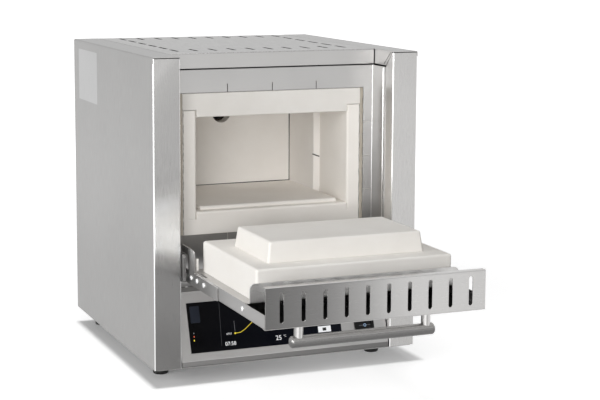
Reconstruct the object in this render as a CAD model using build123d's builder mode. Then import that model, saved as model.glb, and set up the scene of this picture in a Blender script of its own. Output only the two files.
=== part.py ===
from build123d import *
import os
from math import atan, atan2, cos, degrees, radians, sin

# Casing of folded stainless sheet, outside sizes
case_width = 460.0
case_depth = 480.0
case_height = 500.0
sheet = 1.2
bend = 2.5
seam = 0.5
cover_seam = 1.2
touch = 0.2
foot_height = 29.5
foot_radius = 13.5
foot_inset = 38.0
foot_front = 89.5
foot_rear = 32.0
base_inset = 4.0

# Front pillars and the recess that the closed door fills
pillar_width = 45.5
pillar_return = 40.0
recess_depth = 72.0
recess_fold = 25.0
gusset_gap = 1.6
lip = 14.0

# Ventilation slots in the top cover, rear panel and door
slot_columns = 10
slot_length = 44.0
slot_width = 5.6
door_slot_width = 6.4
slot_end_steps = 4
door_slot_end_steps = 6
top_slot_front = 65.0
top_slot_rear = 43.0
top_slot_gap = 16.0
top_slot_rows = 6
rear_vent_margin = 38.0

# Frame plate round the furnace mouth
frame_front = 75.0
frame_return = 48.3
frame_top_gap = 2.5
frame_slit = 1.2
slit_length = 14.0
frame_slit_columns = 4
frame_slit_rows = 4
mouth_play = 0.5

# Fibre collar with stepped corner joints
collar_front = 71.0
collar_length = 117.0
collar_inset = 72.2
collar_low = 202.0
collar_drop = 65.5
post_width = 23.3
sill_height = 37.5
lintel_height = 39.0
joint_step = 12.0
joint_gap = 0.8
collar_edge = 2.0
blanket_width = 8.0
blanket_depth = 26.0
blanket_front = 73.0

# Heated chamber behind the collar
mouth_step = 12.0
roof_slab_thickness = 36.5
plate_thickness = 20.0
hearth_thickness = 6.0
hearth_setback = 17.0
hearth_edge = 4.0
seam_shadow = 1.2
element_radius = 1.3
element_runs = 6
element_channel = 3.5
element_margin = 14.0
pin_radius = 1.0
pin_share = 0.41
pin_rise = 5.0
pin_overreach = 1.5

# Insulation and its steel liner
liner_side_gap = 30.0
liner_rear_gap = 40.0
rear_fill_share = 0.2917
roof_fill = 33.5
floor_fill = 82.6

# Exhaust tube and thermocouple through the rear
exhaust_x = -9.0
exhaust_drop = 24.0
exhaust_radius = 16.8
exhaust_bore = 14.0
exhaust_sink = 24.0
exhaust_proud = 30.0
flange_radius = 26.0
flange_thickness = 1.5
thermocouple_x = 52.0
thermocouple_drop = 18.0
thermocouple_radius = 3.5
thermocouple_reach = 26.0
sensor_head_width = 30.0
sensor_head_height = 24.0

# Door hinge: axis, pins, blocks and arms
hinge_height = 149.5
hinge_setback = 8.0
hinge_pin_radius = 4.0
hinge_clearance = 0.05
block_width = 5.0
block_front = -8.0
block_rear = 26.0
block_drop = 7.5
block_rise = 37.5
block_corner = 5.0
arm_thickness = 2.0
arm_reach = 146.0
arm_tail = 18.0
ear_front = -40.0
ear_rear = -10.0
ear_rise = 48.5
ear_strip = 11.0
ear_strip_rear = 24.0
ear_radius = 12.0
neck_radius = 6.0
arm_corner = 2.0
strip_corner = 3.0
ear_flange = 5.0
stop_pin_radius = 3.0
stop_pin_offset = 12.0
stop_gap = 0.1

# Door, modelled open and level
door_proud = 0.5
door_top_gap = 1.5
door_side_gap = 10.0
door_depth = 61.0
door_return = 10.0
door_skin_rear = 28.0
rail_height = 21.0
tray_rear = -12.0
trough_depth = 74.3
tray_lip_height = 30.0
tray_lip_inset = 4.9
tray_lip_corner = 8.0
tray_flange = 12.0
tray_slot_length = 35.0
tray_slot_width = 3.0
tray_slot_inset = 5.0
tray_slot_y = -62.0
block_side_gap = 15.5
block_upper_cover = 26.0
block_lower_cover = 52.0
seal_gap = 0.5
plug_clearance = 6.5
plug_height = 31.5
plug_draw = 4.0
fibre_edge = 4.0
cap_radius = 5.5
cap_depth = 3.0
cap_spacing = 47.5
cap_inset = 9.0

# Door handle
handle_setback = 52.0
handle_drop = 34.5
handle_end_gap = 57.0
handle_radius = 9.0
post_inset = 14.5
post_radius = 7.0
screw_radius = 2.5
screw_depth = 12.0
head_radius = 4.2
head_height = 2.4
head_sides = 12
arm_screw_rows = (-26.0, -53.0, -85.0)
front_screw_gap = 17.2
rail_screw_rise = 12.0

# Control panel, leaning back between the pillars
panel_foot = 3.0
panel_toe = 2.0
panel_toe_height = 9.0
panel_top_setback = 40.0
panel_height = 115.0
display_margin = 17.0
display_switch_gap = 25.0
display_low = 12.5
display_high = 94.0
glass_thickness = 2.8
glass_proud = 0.8
glass_corner = 1.5
housing_depth = 36.0
housing_margin = 7.0
usb_margin = 4.0
usb_width = 16.0
usb_low = 61.0
usb_height = 27.0
usb_thickness = 1.4
usb_gap = 0.3
usb_window_margin = 2.5
usb_shell_width = 7.0
usb_shell_height = 15.0
usb_shell_depth = 14.0
usb_wall = 0.8
switch_margin = 58.0
switch_low = 25.0
switch_width = 35.0
switch_height = 28.0
switch_bezel = 2.0
switch_wall = 3.0
switch_body_depth = 24.0
rocker_radius = 10.6
rocker_gap = 0.4
rocker_tilt = 8.0
rocker_valley = 2.4
rocker_rise = 3.6
rocker_axle_radius = 1.5

# Parts in the base
heatsink_width = 90.0
heatsink_depth = 110.0
heatsink_height = 42.0
heatsink_fins = 9
fin_thickness = 2.0
relay_width = 45.0
relay_depth = 58.0
relay_height = 24.0
relay_edge = 1.0
terminal_ways = 5
terminal_pitch = 12.0
terminal_depth = 38.0
terminal_height = 34.0
gland_inset = 80.0
gland_height = 88.0
gland_bore = 5.5
gland_radius = 11.0
gland_hex_radius = 13.5
gland_length = 22.0

# The origin is below the middle of the whole part, on the table
wall_x = case_width / 2
pillar_x = wall_x - pillar_width
rear = case_depth
door_skin = hinge_height - hinge_setback - door_proud
door_reach = case_height - door_top_gap - hinge_height - hinge_setback
block_low = hinge_height - block_drop
block_high = hinge_height + block_rise
ear_height = hinge_height + ear_rise
front_y = (door_reach - case_depth - exhaust_proud) / 2

# Casing, collar, mouth and chamber sizes that follow the casing
cover_half_width = pillar_x - cover_seam
slot_pitch = 2 * cover_half_width / (slot_columns + 1)
top_slot_pitch = (rear - recess_depth - top_slot_front - top_slot_rear) / (top_slot_rows - 1)
collar_rear = collar_front + collar_length
collar_half_width = wall_x - collar_inset
collar_high = case_height - collar_drop
mouth_half_width = collar_half_width - post_width
mouth_low = collar_low + sill_height
mouth_high = collar_high - lintel_height
slit_pitch = 2 * collar_half_width / frame_slit_columns
side_slit_pitch = (collar_high - collar_low) / frame_slit_rows
chamber_half_width = mouth_half_width - mouth_step
ceiling_height = collar_high - roof_slab_thickness
insulation_half_width = wall_x - liner_side_gap
insulation_rear = rear - liner_rear_gap
chamber_rear = insulation_rear - rear_fill_share * rear
insulation_low = collar_low - floor_fill
insulation_high = collar_high + roof_fill
exhaust_height = ceiling_height - exhaust_drop
thermocouple_height = ceiling_height - thermocouple_drop

# Door, handle and panel sizes that follow the casing
door_half_width = pillar_x - door_side_gap
tray_lip_front = trough_depth - door_reach
tray_lip_half_width = door_half_width - tray_lip_inset
block_half_width = door_half_width - block_side_gap
handle_y = handle_setback - door_reach
handle_half_length = door_half_width - handle_end_gap
post_x = handle_half_length - post_inset
rail_screw_rows = (*arm_screw_rows, tray_lip_front + front_screw_gap)
panel_half_width = pillar_x - 3 * seam
display_left = display_margin - panel_half_width
switch_left = panel_half_width - switch_margin
display_right = switch_left - display_switch_gap
usb_left = display_left + usb_margin
gland_x = gland_inset - wall_x


def back(depth):
    """Distance behind the plane of the pillars' faces."""
    return front_y + depth


def up(height):
    """Height above the casing's lower edge."""
    return foot_height + height


def folded(points, side, thickness=sheet, radius=bend):
    """Folded sheet seen end on: a line with rounded bends, thickened to one side."""
    with BuildSketch() as section:
        with BuildLine():
            FilletPolyline(*points, radius=radius)
            offset(amount=thickness, side=side)
        make_face()
    return section.sketch


def across(x):
    """Plane across the casing at x, drawn with Y to the right and Z up."""
    return Plane.YZ.offset(x)


def facing(depth):
    """Plane parallel to the front, drawn with X to the right and Z up."""
    return Plane.XZ.offset(-back(depth))


def level(height):
    """Horizontal plane at a height above the casing's lower edge."""
    return Plane.XY.offset(up(height))


def slot(length, width, end_steps):
    """Upright slot with round ends, each made of a few straight runs."""
    radius, reach = width / 2, (length - width) / 2
    angles = [180 * step / end_steps for step in range(end_steps + 1)]
    top_end = [(radius * cos(radians(a)), reach + radius * sin(radians(a))) for a in angles]
    return Polygon(*top_end, *[(-x, -y) for x, y in top_end], align=None)


def save(builder, name):
    """Label a finished piece and write it."""
    builder.part.label = name
    export_step(builder.part, f"parts/{name}.step")


os.makedirs("parts", exist_ok=True)

# Side panel with its pillar face, pillar return and top flange
with BuildPart() as side_panel_left:
    with BuildSketch(level(0)):
        add(
            folded(
                (
                    (-wall_x, back(rear)),
                    (-wall_x, back(0)),
                    (-pillar_x, back(0)),
                    (-pillar_x, back(pillar_return)),
                ),
                Side.LEFT,
            )
        )
    extrude(amount=case_height - bend)
    with BuildSketch(across(-pillar_x - 2 * sheet)):
        with BuildLine():
            Polyline(
                (back(bend), up(case_height - sheet)),
                (back(pillar_return + bend), up(case_height - sheet)),
                (back(pillar_return + bend), up(case_height - pillar_return - 2 * bend)),
                close=True,
            )
        make_face()
    extrude(amount=3 * sheet, mode=Mode.SUBTRACT)
    with BuildSketch(facing(0)):
        add(
            folded(
                (
                    (-wall_x, up(case_height - 4 * bend)),
                    (-wall_x, up(case_height)),
                    (-pillar_x, up(case_height)),
                ),
                Side.RIGHT,
            )
        )
    extrude(amount=-rear)
    with BuildSketch(across(-pillar_x - sheet)):
        with BuildLine():
            Polyline(
                (back(gusset_gap), up(case_height)),
                (back(recess_depth), up(case_height)),
                (back(recess_depth), up(case_height - recess_fold)),
                (back(recess_fold + gusset_gap), up(case_height - recess_fold)),
                close=True,
            )
        make_face()
    extrude(amount=sheet)
save(side_panel_left, "side_panel_left")

with BuildPart() as side_panel_right:
    mirror(side_panel_left.part, about=Plane.YZ)
save(side_panel_right, "side_panel_right")

# Top cover with the folded fascia over the recess and a ring of slots
with BuildPart() as top_cover:
    with BuildSketch(across(-cover_half_width)):
        add(
            folded(
                (
                    (back(rear), up(case_height - lip)),
                    (back(rear), up(case_height)),
                    (back(recess_depth), up(case_height)),
                    (back(recess_depth), up(case_height - recess_fold)),
                ),
                Side.LEFT,
            )
        )
    extrude(amount=2 * cover_half_width)
    with BuildSketch(level(case_height - lip)):
        with Locations((0, back((recess_depth + rear) / 2))):
            with GridLocations(2 * cover_half_width - sheet, 0, 2, 1):
                Rectangle(sheet, rear - recess_depth - 4 * bend)
    extrude(amount=lip - sheet)
    slot_first_x = -slot_pitch * (slot_columns - 1) / 2
    slot_places = [
        (slot_first_x + column * slot_pitch, back(recess_depth + top_slot_front + row * top_slot_pitch))
        for row in range(top_slot_rows)
        for column in range(slot_columns)
        if row in (0, top_slot_rows - 1) or column in (0, slot_columns - 1)
    ]
    with BuildSketch(level(case_height)):
        with Locations(*slot_places):
            slot(top_slot_pitch - top_slot_gap, slot_width, slot_end_steps)
    extrude(amount=-2 * sheet, mode=Mode.SUBTRACT)
save(top_cover, "top_cover")

# Rear panel inside the casing's rear edge, with its own folded rim
rear_panel_y = rear - sheet - touch
rear_half_width = wall_x - sheet - touch
rear_height = case_height - sheet - seam
with BuildPart() as rear_panel:
    with BuildSketch(level(0)):
        add(
            folded(
                (
                    (-rear_half_width, back(rear_panel_y - lip)),
                    (-rear_half_width, back(rear_panel_y)),
                    (rear_half_width, back(rear_panel_y)),
                    (rear_half_width, back(rear_panel_y - lip)),
                ),
                Side.RIGHT,
            )
        )
    extrude(amount=rear_height - bend)
    with BuildSketch(facing(rear_panel_y)):
        for vent_height in (rear_vent_margin, rear_height - rear_vent_margin):
            with Locations((0, up(vent_height))):
                with GridLocations(slot_pitch, 0, slot_columns, 1):
                    slot(slot_length, slot_width, slot_end_steps)
        with Locations((exhaust_x, up(exhaust_height))):
            Circle(exhaust_radius + touch)
        with Locations((gland_x, up(gland_height))):
            Circle(gland_radius)
    extrude(amount=2 * sheet, mode=Mode.SUBTRACT)
save(rear_panel, "rear_panel")

# Base plate that the panels stand on
with BuildPart() as base_plate:
    with BuildSketch(level(-sheet)) as base_outline:
        with Locations((0, back(rear / 2))):
            Rectangle(case_width - 2 * base_inset, rear - base_inset)
        fillet(base_outline.vertices(), base_inset)
    extrude(amount=sheet)
save(base_plate, "base_plate")

# Four rubber feet under the base plate
foot_span = rear - foot_front - foot_rear
with BuildPart() as feet:
    with Locations((0, back(foot_front + foot_span / 2), 0)):
        with GridLocations(case_width - 2 * foot_inset, foot_span, 2, 2):
            Cylinder(
                foot_radius,
                foot_height - sheet,
                align=(Align.CENTER, Align.CENTER, Align.MIN),
            )
save(feet, "feet")

# Frame plate round the mouth, with returns running forward beside the pillars
frame_x = pillar_x - touch
frame_opening_x = collar_half_width + blanket_width + touch
with BuildPart() as front_frame:
    with BuildSketch(level(panel_height + touch)):
        add(
            folded(
                (
                    (-frame_x, back(frame_front + sheet - frame_return)),
                    (-frame_x, back(frame_front + sheet)),
                    (frame_x, back(frame_front + sheet)),
                    (frame_x, back(frame_front + sheet - frame_return)),
                ),
                Side.RIGHT,
            )
        )
    extrude(amount=case_height - recess_fold - frame_top_gap - panel_height - touch)
    with BuildSketch(facing(frame_front - sheet)):
        with Locations((0, up((collar_low + collar_high) / 2))):
            Rectangle(2 * frame_opening_x, collar_high - collar_low + 2 * mouth_play)
        for slit_x in (-slit_pitch, 0, slit_pitch):
            with Locations((slit_x, up(collar_high)), (slit_x, up(collar_low))):
                Rectangle(frame_slit, 2 * slit_length)
        for slit_height in (-side_slit_pitch, 0, side_slit_pitch):
            for slit_side in (-1, 1):
                middle_height = (collar_low + collar_high) / 2 + slit_height
                with Locations((slit_side * frame_opening_x, up(middle_height))):
                    Rectangle(2 * slit_length, frame_slit)
    extrude(amount=-3 * sheet, mode=Mode.SUBTRACT)
save(front_frame, "front_frame")

# Steel liner round the insulation, open to the front frame
liner_front = frame_front + sheet + touch
with BuildPart() as inner_liner:
    with BuildSketch(facing(liner_front)):
        with Locations((0, up((insulation_low + insulation_high) / 2))):
            Rectangle(2 * (insulation_half_width + sheet), insulation_high - insulation_low + 2 * sheet)
            Rectangle(2 * insulation_half_width, insulation_high - insulation_low, mode=Mode.SUBTRACT)
    extrude(amount=-(insulation_rear - liner_front))
save(inner_liner, "inner_liner")

with BuildPart() as liner_back:
    with BuildSketch(facing(insulation_rear)):
        with Locations((0, up((insulation_low + insulation_high) / 2))):
            Rectangle(2 * (insulation_half_width + sheet), insulation_high - insulation_low + 2 * sheet)
        with Locations((exhaust_x, up(exhaust_height))):
            Circle(exhaust_radius + touch, mode=Mode.SUBTRACT)
        with Locations((thermocouple_x, up(thermocouple_height))):
            Circle(thermocouple_radius + touch, mode=Mode.SUBTRACT)
    extrude(amount=-sheet)
save(liner_back, "liner_back")

# Collar lintel, with tongues that reach down between the posts
lintel_step = mouth_high + joint_step
sill_step = mouth_low - joint_step
with BuildPart() as collar_lintel:
    with BuildSketch(facing(collar_front)):
        with BuildLine():
            Polyline(
                (-collar_half_width, up(collar_high)),
                (collar_half_width, up(collar_high)),
                (collar_half_width, up(lintel_step)),
                (mouth_half_width - joint_gap, up(lintel_step)),
                (mouth_half_width - joint_gap, up(mouth_high)),
                (joint_gap - mouth_half_width, up(mouth_high)),
                (joint_gap - mouth_half_width, up(lintel_step)),
                (-collar_half_width, up(lintel_step)),
                close=True,
            )
        make_face()
    extrude(amount=-collar_length)
    front_edges = collar_lintel.faces().sort_by(Axis.Y)[0].edges()
    fillet(front_edges.filter_by(Axis.X).sort_by(Axis.Z)[-1:], radius=collar_edge)
    chamfer(collar_lintel.faces().sort_by(Axis.Z)[0].edges().sort_by(Axis.Y)[0], length=collar_edge / 2)
save(collar_lintel, "collar_lintel")

with BuildPart() as collar_sill:
    with BuildSketch(facing(collar_front)):
        with BuildLine():
            Polyline(
                (-collar_half_width, up(collar_low)),
                (collar_half_width, up(collar_low)),
                (collar_half_width, up(sill_step)),
                (mouth_half_width, up(sill_step)),
                (mouth_half_width, up(mouth_low)),
                (-mouth_half_width, up(mouth_low)),
                (-mouth_half_width, up(sill_step)),
                (-collar_half_width, up(sill_step)),
                close=True,
            )
        make_face()
    extrude(amount=-collar_length)
    fillet(collar_sill.faces().sort_by(Axis.Z)[-1].edges().sort_by(Axis.Y)[0], radius=2 * collar_edge)
save(collar_sill, "collar_sill")

# Collar posts between lintel and sill, their mouth edge rounded
post_middle = (mouth_half_width + collar_half_width) / 2
with BuildPart() as collar_post_left:
    with BuildSketch(facing(collar_front)):
        with Locations((-post_middle, up((sill_step + lintel_step - joint_gap) / 2))):
            Rectangle(post_width, lintel_step - joint_gap - sill_step)
    extrude(amount=-collar_length)
    post_front = collar_post_left.faces().sort_by(Axis.Y)[0].edges().filter_by(Axis.Z)
    fillet(post_front.sort_by(Axis.X)[-1], radius=2 * collar_edge)
save(collar_post_left, "collar_post_left")

with BuildPart() as collar_post_right:
    mirror(collar_post_left.part, about=Plane.YZ)
save(collar_post_right, "collar_post_right")

# Blanket strips packed between the collar and the frame plate
with BuildPart() as blanket_strip_left:
    with BuildSketch(facing(blanket_front)):
        with Locations((-collar_half_width - blanket_width / 2, up((collar_low + collar_high) / 2))):
            Rectangle(blanket_width, collar_high - collar_low)
    extrude(amount=-blanket_depth)
    strip_front = blanket_strip_left.faces().sort_by(Axis.Y)[0]
    fillet(strip_front.edges().filter_by(Axis.Z), radius=collar_edge)
save(blanket_strip_left, "blanket_strip_left")

with BuildPart() as blanket_strip_right:
    mirror(blanket_strip_left.part, about=Plane.YZ)
save(blanket_strip_right, "blanket_strip_right")

# Hearth plate on the floor of the chamber
with BuildPart() as hearth_plate:
    hearth_front = collar_front + hearth_setback
    with BuildSketch(level(mouth_low)):
        with Locations((0, back((hearth_front + chamber_rear - seam_shadow) / 2))):
            Rectangle(2 * (chamber_half_width - touch), chamber_rear - seam_shadow - hearth_front)
    extrude(amount=hearth_thickness)
    hearth_top = hearth_plate.faces().sort_by(Axis.Z)[-1]
    fillet(hearth_top.edges().sort_by(Axis.Y)[0], radius=hearth_edge)
save(hearth_plate, "hearth_plate")

# Heating plates either side of the chamber, their front ends stepping in from the posts
plate_outer = chamber_half_width + plate_thickness
with BuildPart() as heating_plate_left:
    with BuildSketch(facing(collar_rear)):
        with Locations((-chamber_half_width - plate_thickness / 2, up((mouth_low + ceiling_height) / 2))):
            Rectangle(plate_thickness, ceiling_height - mouth_low)
    extrude(amount=-(chamber_rear - seam_shadow - collar_rear))
    plate_front = heating_plate_left.faces().sort_by(Axis.Y)[0].edges().filter_by(Axis.Z)
    fillet(plate_front.sort_by(Axis.X)[-1], radius=collar_edge)
save(heating_plate_left, "heating_plate_left")

with BuildPart() as heating_plate_right:
    mirror(heating_plate_left.part, about=Plane.YZ)
save(heating_plate_right, "heating_plate_right")

# Heating wire winding up and down behind each plate, with both tails led to the rear
element_x = -plate_outer - element_radius
element_front = collar_rear + element_margin
element_pitch = (chamber_rear - element_margin - element_front) / (element_runs - 1)
element_low = mouth_low + element_margin
element_high = ceiling_height - element_margin
element_tail = insulation_rear - element_margin
element_points = [
    (element_tail, element_low - element_margin / 2),
    (element_front, element_low - element_margin / 2),
    (element_front, element_high),
]
for run in range(1, element_runs):
    run_y = element_front + run * element_pitch
    first, last = (element_high, element_low) if run % 2 else (element_low, element_high)
    element_points += [(run_y, first), (run_y, last)]
element_points.append((element_tail, element_low))
with BuildPart() as heating_element_left:
    with BuildSketch(across(element_x - element_radius)):
        with BuildLine():
            Polyline(*[(back(y), up(z)) for y, z in element_points])
        trace(line_width=2 * element_radius)
    extrude(amount=2 * element_radius)
save(heating_element_left, "heating_element_left")

with BuildPart() as heating_element_right:
    mirror(heating_element_left.part, about=Plane.YZ)
save(heating_element_right, "heating_element_right")

# Short retaining pins across the front ends of the heating plates
pin_run = mouth_step + pin_overreach
pin_height = mouth_low + pin_share * (mouth_high - mouth_low)
with BuildPart() as retaining_pins:
    for pin_side in (-1, 1):
        pin_x = pin_side * (mouth_half_width - pin_radius)
        pin_start = (pin_x, back(collar_rear - pin_radius), up(pin_height))
        pin_way = (-pin_side * pin_run, 0, pin_rise)
        with BuildSketch(Plane(origin=pin_start, z_dir=pin_way)):
            Circle(pin_radius)
        extrude(amount=pin_run)
save(retaining_pins, "retaining_pins")

# Roof slab and rear wall slab of the chamber
side_face_x = plate_outer + element_channel
with BuildPart() as roof_slab:
    with BuildSketch(level(ceiling_height)):
        with Locations((0, back((collar_rear + chamber_rear) / 2))):
            Rectangle(2 * side_face_x, chamber_rear - collar_rear)
    extrude(amount=collar_high - ceiling_height)
save(roof_slab, "roof_slab")

wall_back = chamber_rear + plate_thickness
with BuildPart() as rear_wall:
    with BuildSketch(facing(chamber_rear)):
        with Locations((0, up((mouth_low + collar_high) / 2))):
            Rectangle(2 * plate_outer, collar_high - mouth_low)
        with Locations((exhaust_x, up(exhaust_height))):
            Circle(exhaust_radius + touch, mode=Mode.SUBTRACT)
        with Locations((thermocouple_x, up(thermocouple_height))):
            Circle(thermocouple_radius + touch, mode=Mode.SUBTRACT)
    extrude(amount=-plate_thickness)
save(rear_wall, "rear_wall")

# Insulation: sides, floor, hearth bed, roof and rear
with BuildPart() as side_insulation_left:
    with BuildSketch(level(collar_low)):
        with BuildLine():
            Polyline(
                (-insulation_half_width, back(liner_front)),
                (-frame_opening_x, back(liner_front)),
                (-frame_opening_x, back(blanket_front + blanket_depth)),
                (-collar_half_width, back(blanket_front + blanket_depth)),
                (-collar_half_width, back(collar_rear)),
                (-side_face_x, back(collar_rear)),
                (-side_face_x, back(insulation_rear)),
                (-insulation_half_width, back(insulation_rear)),
                close=True,
            )
        make_face()
    extrude(amount=collar_high - collar_low)
save(side_insulation_left, "side_insulation_left")

with BuildPart() as side_insulation_right:
    mirror(side_insulation_left.part, about=Plane.YZ)
save(side_insulation_right, "side_insulation_right")

with BuildPart() as floor_insulation:
    with BuildSketch(level(insulation_low)):
        with Locations((0, back((liner_front + insulation_rear) / 2))):
            Rectangle(2 * insulation_half_width, insulation_rear - liner_front)
    extrude(amount=collar_low - insulation_low)
save(floor_insulation, "floor_insulation")

with BuildPart() as hearth_bed:
    with BuildSketch(level(collar_low)):
        with Locations((0, back((collar_rear + insulation_rear) / 2))):
            Rectangle(2 * side_face_x, insulation_rear - collar_rear)
    extrude(amount=mouth_low - collar_low)
save(hearth_bed, "hearth_bed")

with BuildPart() as roof_insulation:
    with BuildSketch(level(collar_high)):
        with Locations((0, back((liner_front + insulation_rear) / 2))):
            Rectangle(2 * insulation_half_width, insulation_rear - liner_front)
    extrude(amount=insulation_high - collar_high)
save(roof_insulation, "roof_insulation")

with BuildPart() as rear_insulation:
    with BuildSketch(facing(wall_back)):
        with Locations((0, up((mouth_low + collar_high) / 2))):
            Rectangle(2 * plate_outer, collar_high - mouth_low)
        with Locations((exhaust_x, up(exhaust_height))):
            Circle(exhaust_radius + touch, mode=Mode.SUBTRACT)
        with Locations((thermocouple_x, up(thermocouple_height))):
            Circle(thermocouple_radius + touch, mode=Mode.SUBTRACT)
    extrude(amount=-(insulation_rear - wall_back))
save(rear_insulation, "rear_insulation")

# Exhaust tube from the chamber to the rear panel, and the flanged spigot outside
exhaust_front = chamber_rear + exhaust_sink
with BuildPart() as exhaust_tube:
    with BuildSketch(facing(exhaust_front)):
        with Locations((exhaust_x, up(exhaust_height))):
            Circle(exhaust_radius)
            Circle(exhaust_bore, mode=Mode.SUBTRACT)
    extrude(amount=exhaust_front - rear_panel_y)
save(exhaust_tube, "exhaust_tube")

with BuildPart() as exhaust_flange:
    with BuildSketch(facing(rear_panel_y)):
        with Locations((exhaust_x, up(exhaust_height))):
            Circle(flange_radius)
            Circle(exhaust_bore, mode=Mode.SUBTRACT)
    extrude(amount=-flange_thickness)
save(exhaust_flange, "exhaust_flange")

spigot_front = rear_panel_y + flange_thickness
with BuildPart() as exhaust_spigot:
    with BuildSketch(facing(spigot_front)):
        with Locations((exhaust_x, up(exhaust_height))):
            Circle(exhaust_radius)
            Circle(exhaust_bore, mode=Mode.SUBTRACT)
    extrude(amount=spigot_front - rear - exhaust_proud)
save(exhaust_spigot, "exhaust_spigot")

# Thermocouple sheath with its connection head behind the liner
with BuildPart() as thermocouple:
    with BuildSketch(facing(chamber_rear - thermocouple_reach)):
        with Locations((thermocouple_x, up(thermocouple_height))):
            Circle(thermocouple_radius)
    extrude(amount=-(insulation_rear + sheet - chamber_rear + thermocouple_reach))
    with BuildSketch(facing(insulation_rear + sheet)):
        with Locations((thermocouple_x, up(thermocouple_height))):
            Rectangle(sensor_head_width, sensor_head_height)
    extrude(amount=-lip)
save(thermocouple, "thermocouple")

# Hinge blocks on the pillar returns, each with a pressed hinge pin and a door stop pin
tail_half = hinge_height - door_skin - touch
stop_y = hinge_setback + stop_pin_offset
stop_z = hinge_height + tail_half + stop_gap + stop_pin_radius
pin_tip_x = door_half_width + touch
with BuildPart() as hinge_block_left:
    with BuildSketch(across(-pillar_x)):
        with Locations((back((block_front + block_rear) / 2), up((block_low + block_high) / 2))):
            RectangleRounded(block_rear - block_front, block_high - block_low, block_corner)
        with Locations((back(hinge_setback), up(hinge_height))):
            Circle(hinge_pin_radius, mode=Mode.SUBTRACT)
        with Locations((back(stop_y), up(stop_z))):
            Circle(stop_pin_radius, mode=Mode.SUBTRACT)
    extrude(amount=block_width)
save(hinge_block_left, "hinge_block_left")

with BuildPart() as hinge_block_right:
    mirror(hinge_block_left.part, about=Plane.YZ)
save(hinge_block_right, "hinge_block_right")

with BuildPart() as hinge_pins:
    with BuildSketch(across(-pillar_x)):
        with Locations((back(hinge_setback), up(hinge_height))):
            Circle(hinge_pin_radius)
    extrude(amount=pillar_x - pin_tip_x)
    mirror(about=Plane.YZ)
save(hinge_pins, "hinge_pins")

with BuildPart() as stop_pins:
    with BuildSketch(across(-pillar_x)):
        with Locations((back(stop_y), up(stop_z))):
            Circle(stop_pin_radius)
    extrude(amount=pillar_x - pin_tip_x)
    mirror(about=Plane.YZ)
save(stop_pins, "stop_pins")

# Gooseneck hinge arms on the outside of the door rails
arm_low = door_skin + touch
rail_top = door_skin + rail_height
tail_end = hinge_setback + arm_tail
arm_x = door_half_width + arm_thickness
arm_points = (
    (back(-arm_reach), up(arm_low)),
    (back(-arm_reach), up(rail_top)),
    (back(ear_front), up(rail_top)),
    (back(ear_front), up(ear_height)),
    (back(ear_strip_rear), up(ear_height)),
    (back(ear_strip_rear), up(ear_height - ear_strip)),
    (back(ear_rear), up(ear_height - ear_strip)),
    (back(ear_rear), up(hinge_height + tail_half)),
    (back(tail_end), up(hinge_height + tail_half)),
    (back(tail_end), up(arm_low)),
)
arm_radii = [arm_corner] * 3 + [ear_radius, strip_corner, strip_corner, neck_radius]
arm_radii += [arm_corner, block_corner, block_corner]
with BuildPart() as hinge_arm_left:
    with BuildSketch(across(-arm_x)):
        with BuildLine():
            FilletPolyline(*arm_points, radius=arm_radii, close=True)
        make_face()
        with Locations((back(hinge_setback), up(hinge_height))):
            Circle(hinge_pin_radius + hinge_clearance, mode=Mode.SUBTRACT)
    extrude(amount=arm_thickness)
    flange_low = rail_top + 3 * sheet
    flange_high = ear_height - ear_radius
    with BuildSketch(across(-door_half_width)):
        with Locations((back(ear_front + sheet / 2), up((flange_low + flange_high) / 2))):
            Rectangle(sheet, flange_high - flange_low)
    extrude(amount=ear_flange)
save(hinge_arm_left, "hinge_arm_left")

with BuildPart() as hinge_arm_right:
    mirror(hinge_arm_left.part, about=Plane.YZ)
save(hinge_arm_right, "hinge_arm_right")

# Door shell: outer skin, side rails and the slotted front with its return
with BuildPart() as door_shell:
    with BuildSketch(facing(door_skin_rear)):
        add(
            folded(
                (
                    (-door_half_width, up(rail_top)),
                    (-door_half_width, up(door_skin)),
                    (door_half_width, up(door_skin)),
                    (door_half_width, up(rail_top)),
                ),
                Side.LEFT,
            )
        )
    extrude(amount=door_skin_rear + door_reach - bend)
    with BuildSketch(across(-door_half_width)):
        add(
            folded(
                (
                    (back(door_return - door_reach), up(door_skin + door_depth)),
                    (back(-door_reach), up(door_skin + door_depth)),
                    (back(-door_reach), up(door_skin)),
                    (back(door_return - door_reach), up(door_skin)),
                ),
                Side.LEFT,
            )
        )
    extrude(amount=2 * door_half_width)
    with BuildSketch(facing(-door_reach)):
        with Locations((0, up(door_skin + door_depth / 2))):
            with GridLocations(slot_pitch, 0, slot_columns, 1):
                slot(slot_length, door_slot_width, door_slot_end_steps)
    extrude(amount=-3 * sheet, mode=Mode.SUBTRACT)
    with BuildSketch(level(door_skin)):
        with Locations((-post_x, back(handle_y)), (post_x, back(handle_y))):
            Circle(screw_radius + touch)
    extrude(amount=sheet, mode=Mode.SUBTRACT)
save(door_shell, "door_shell")

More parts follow.
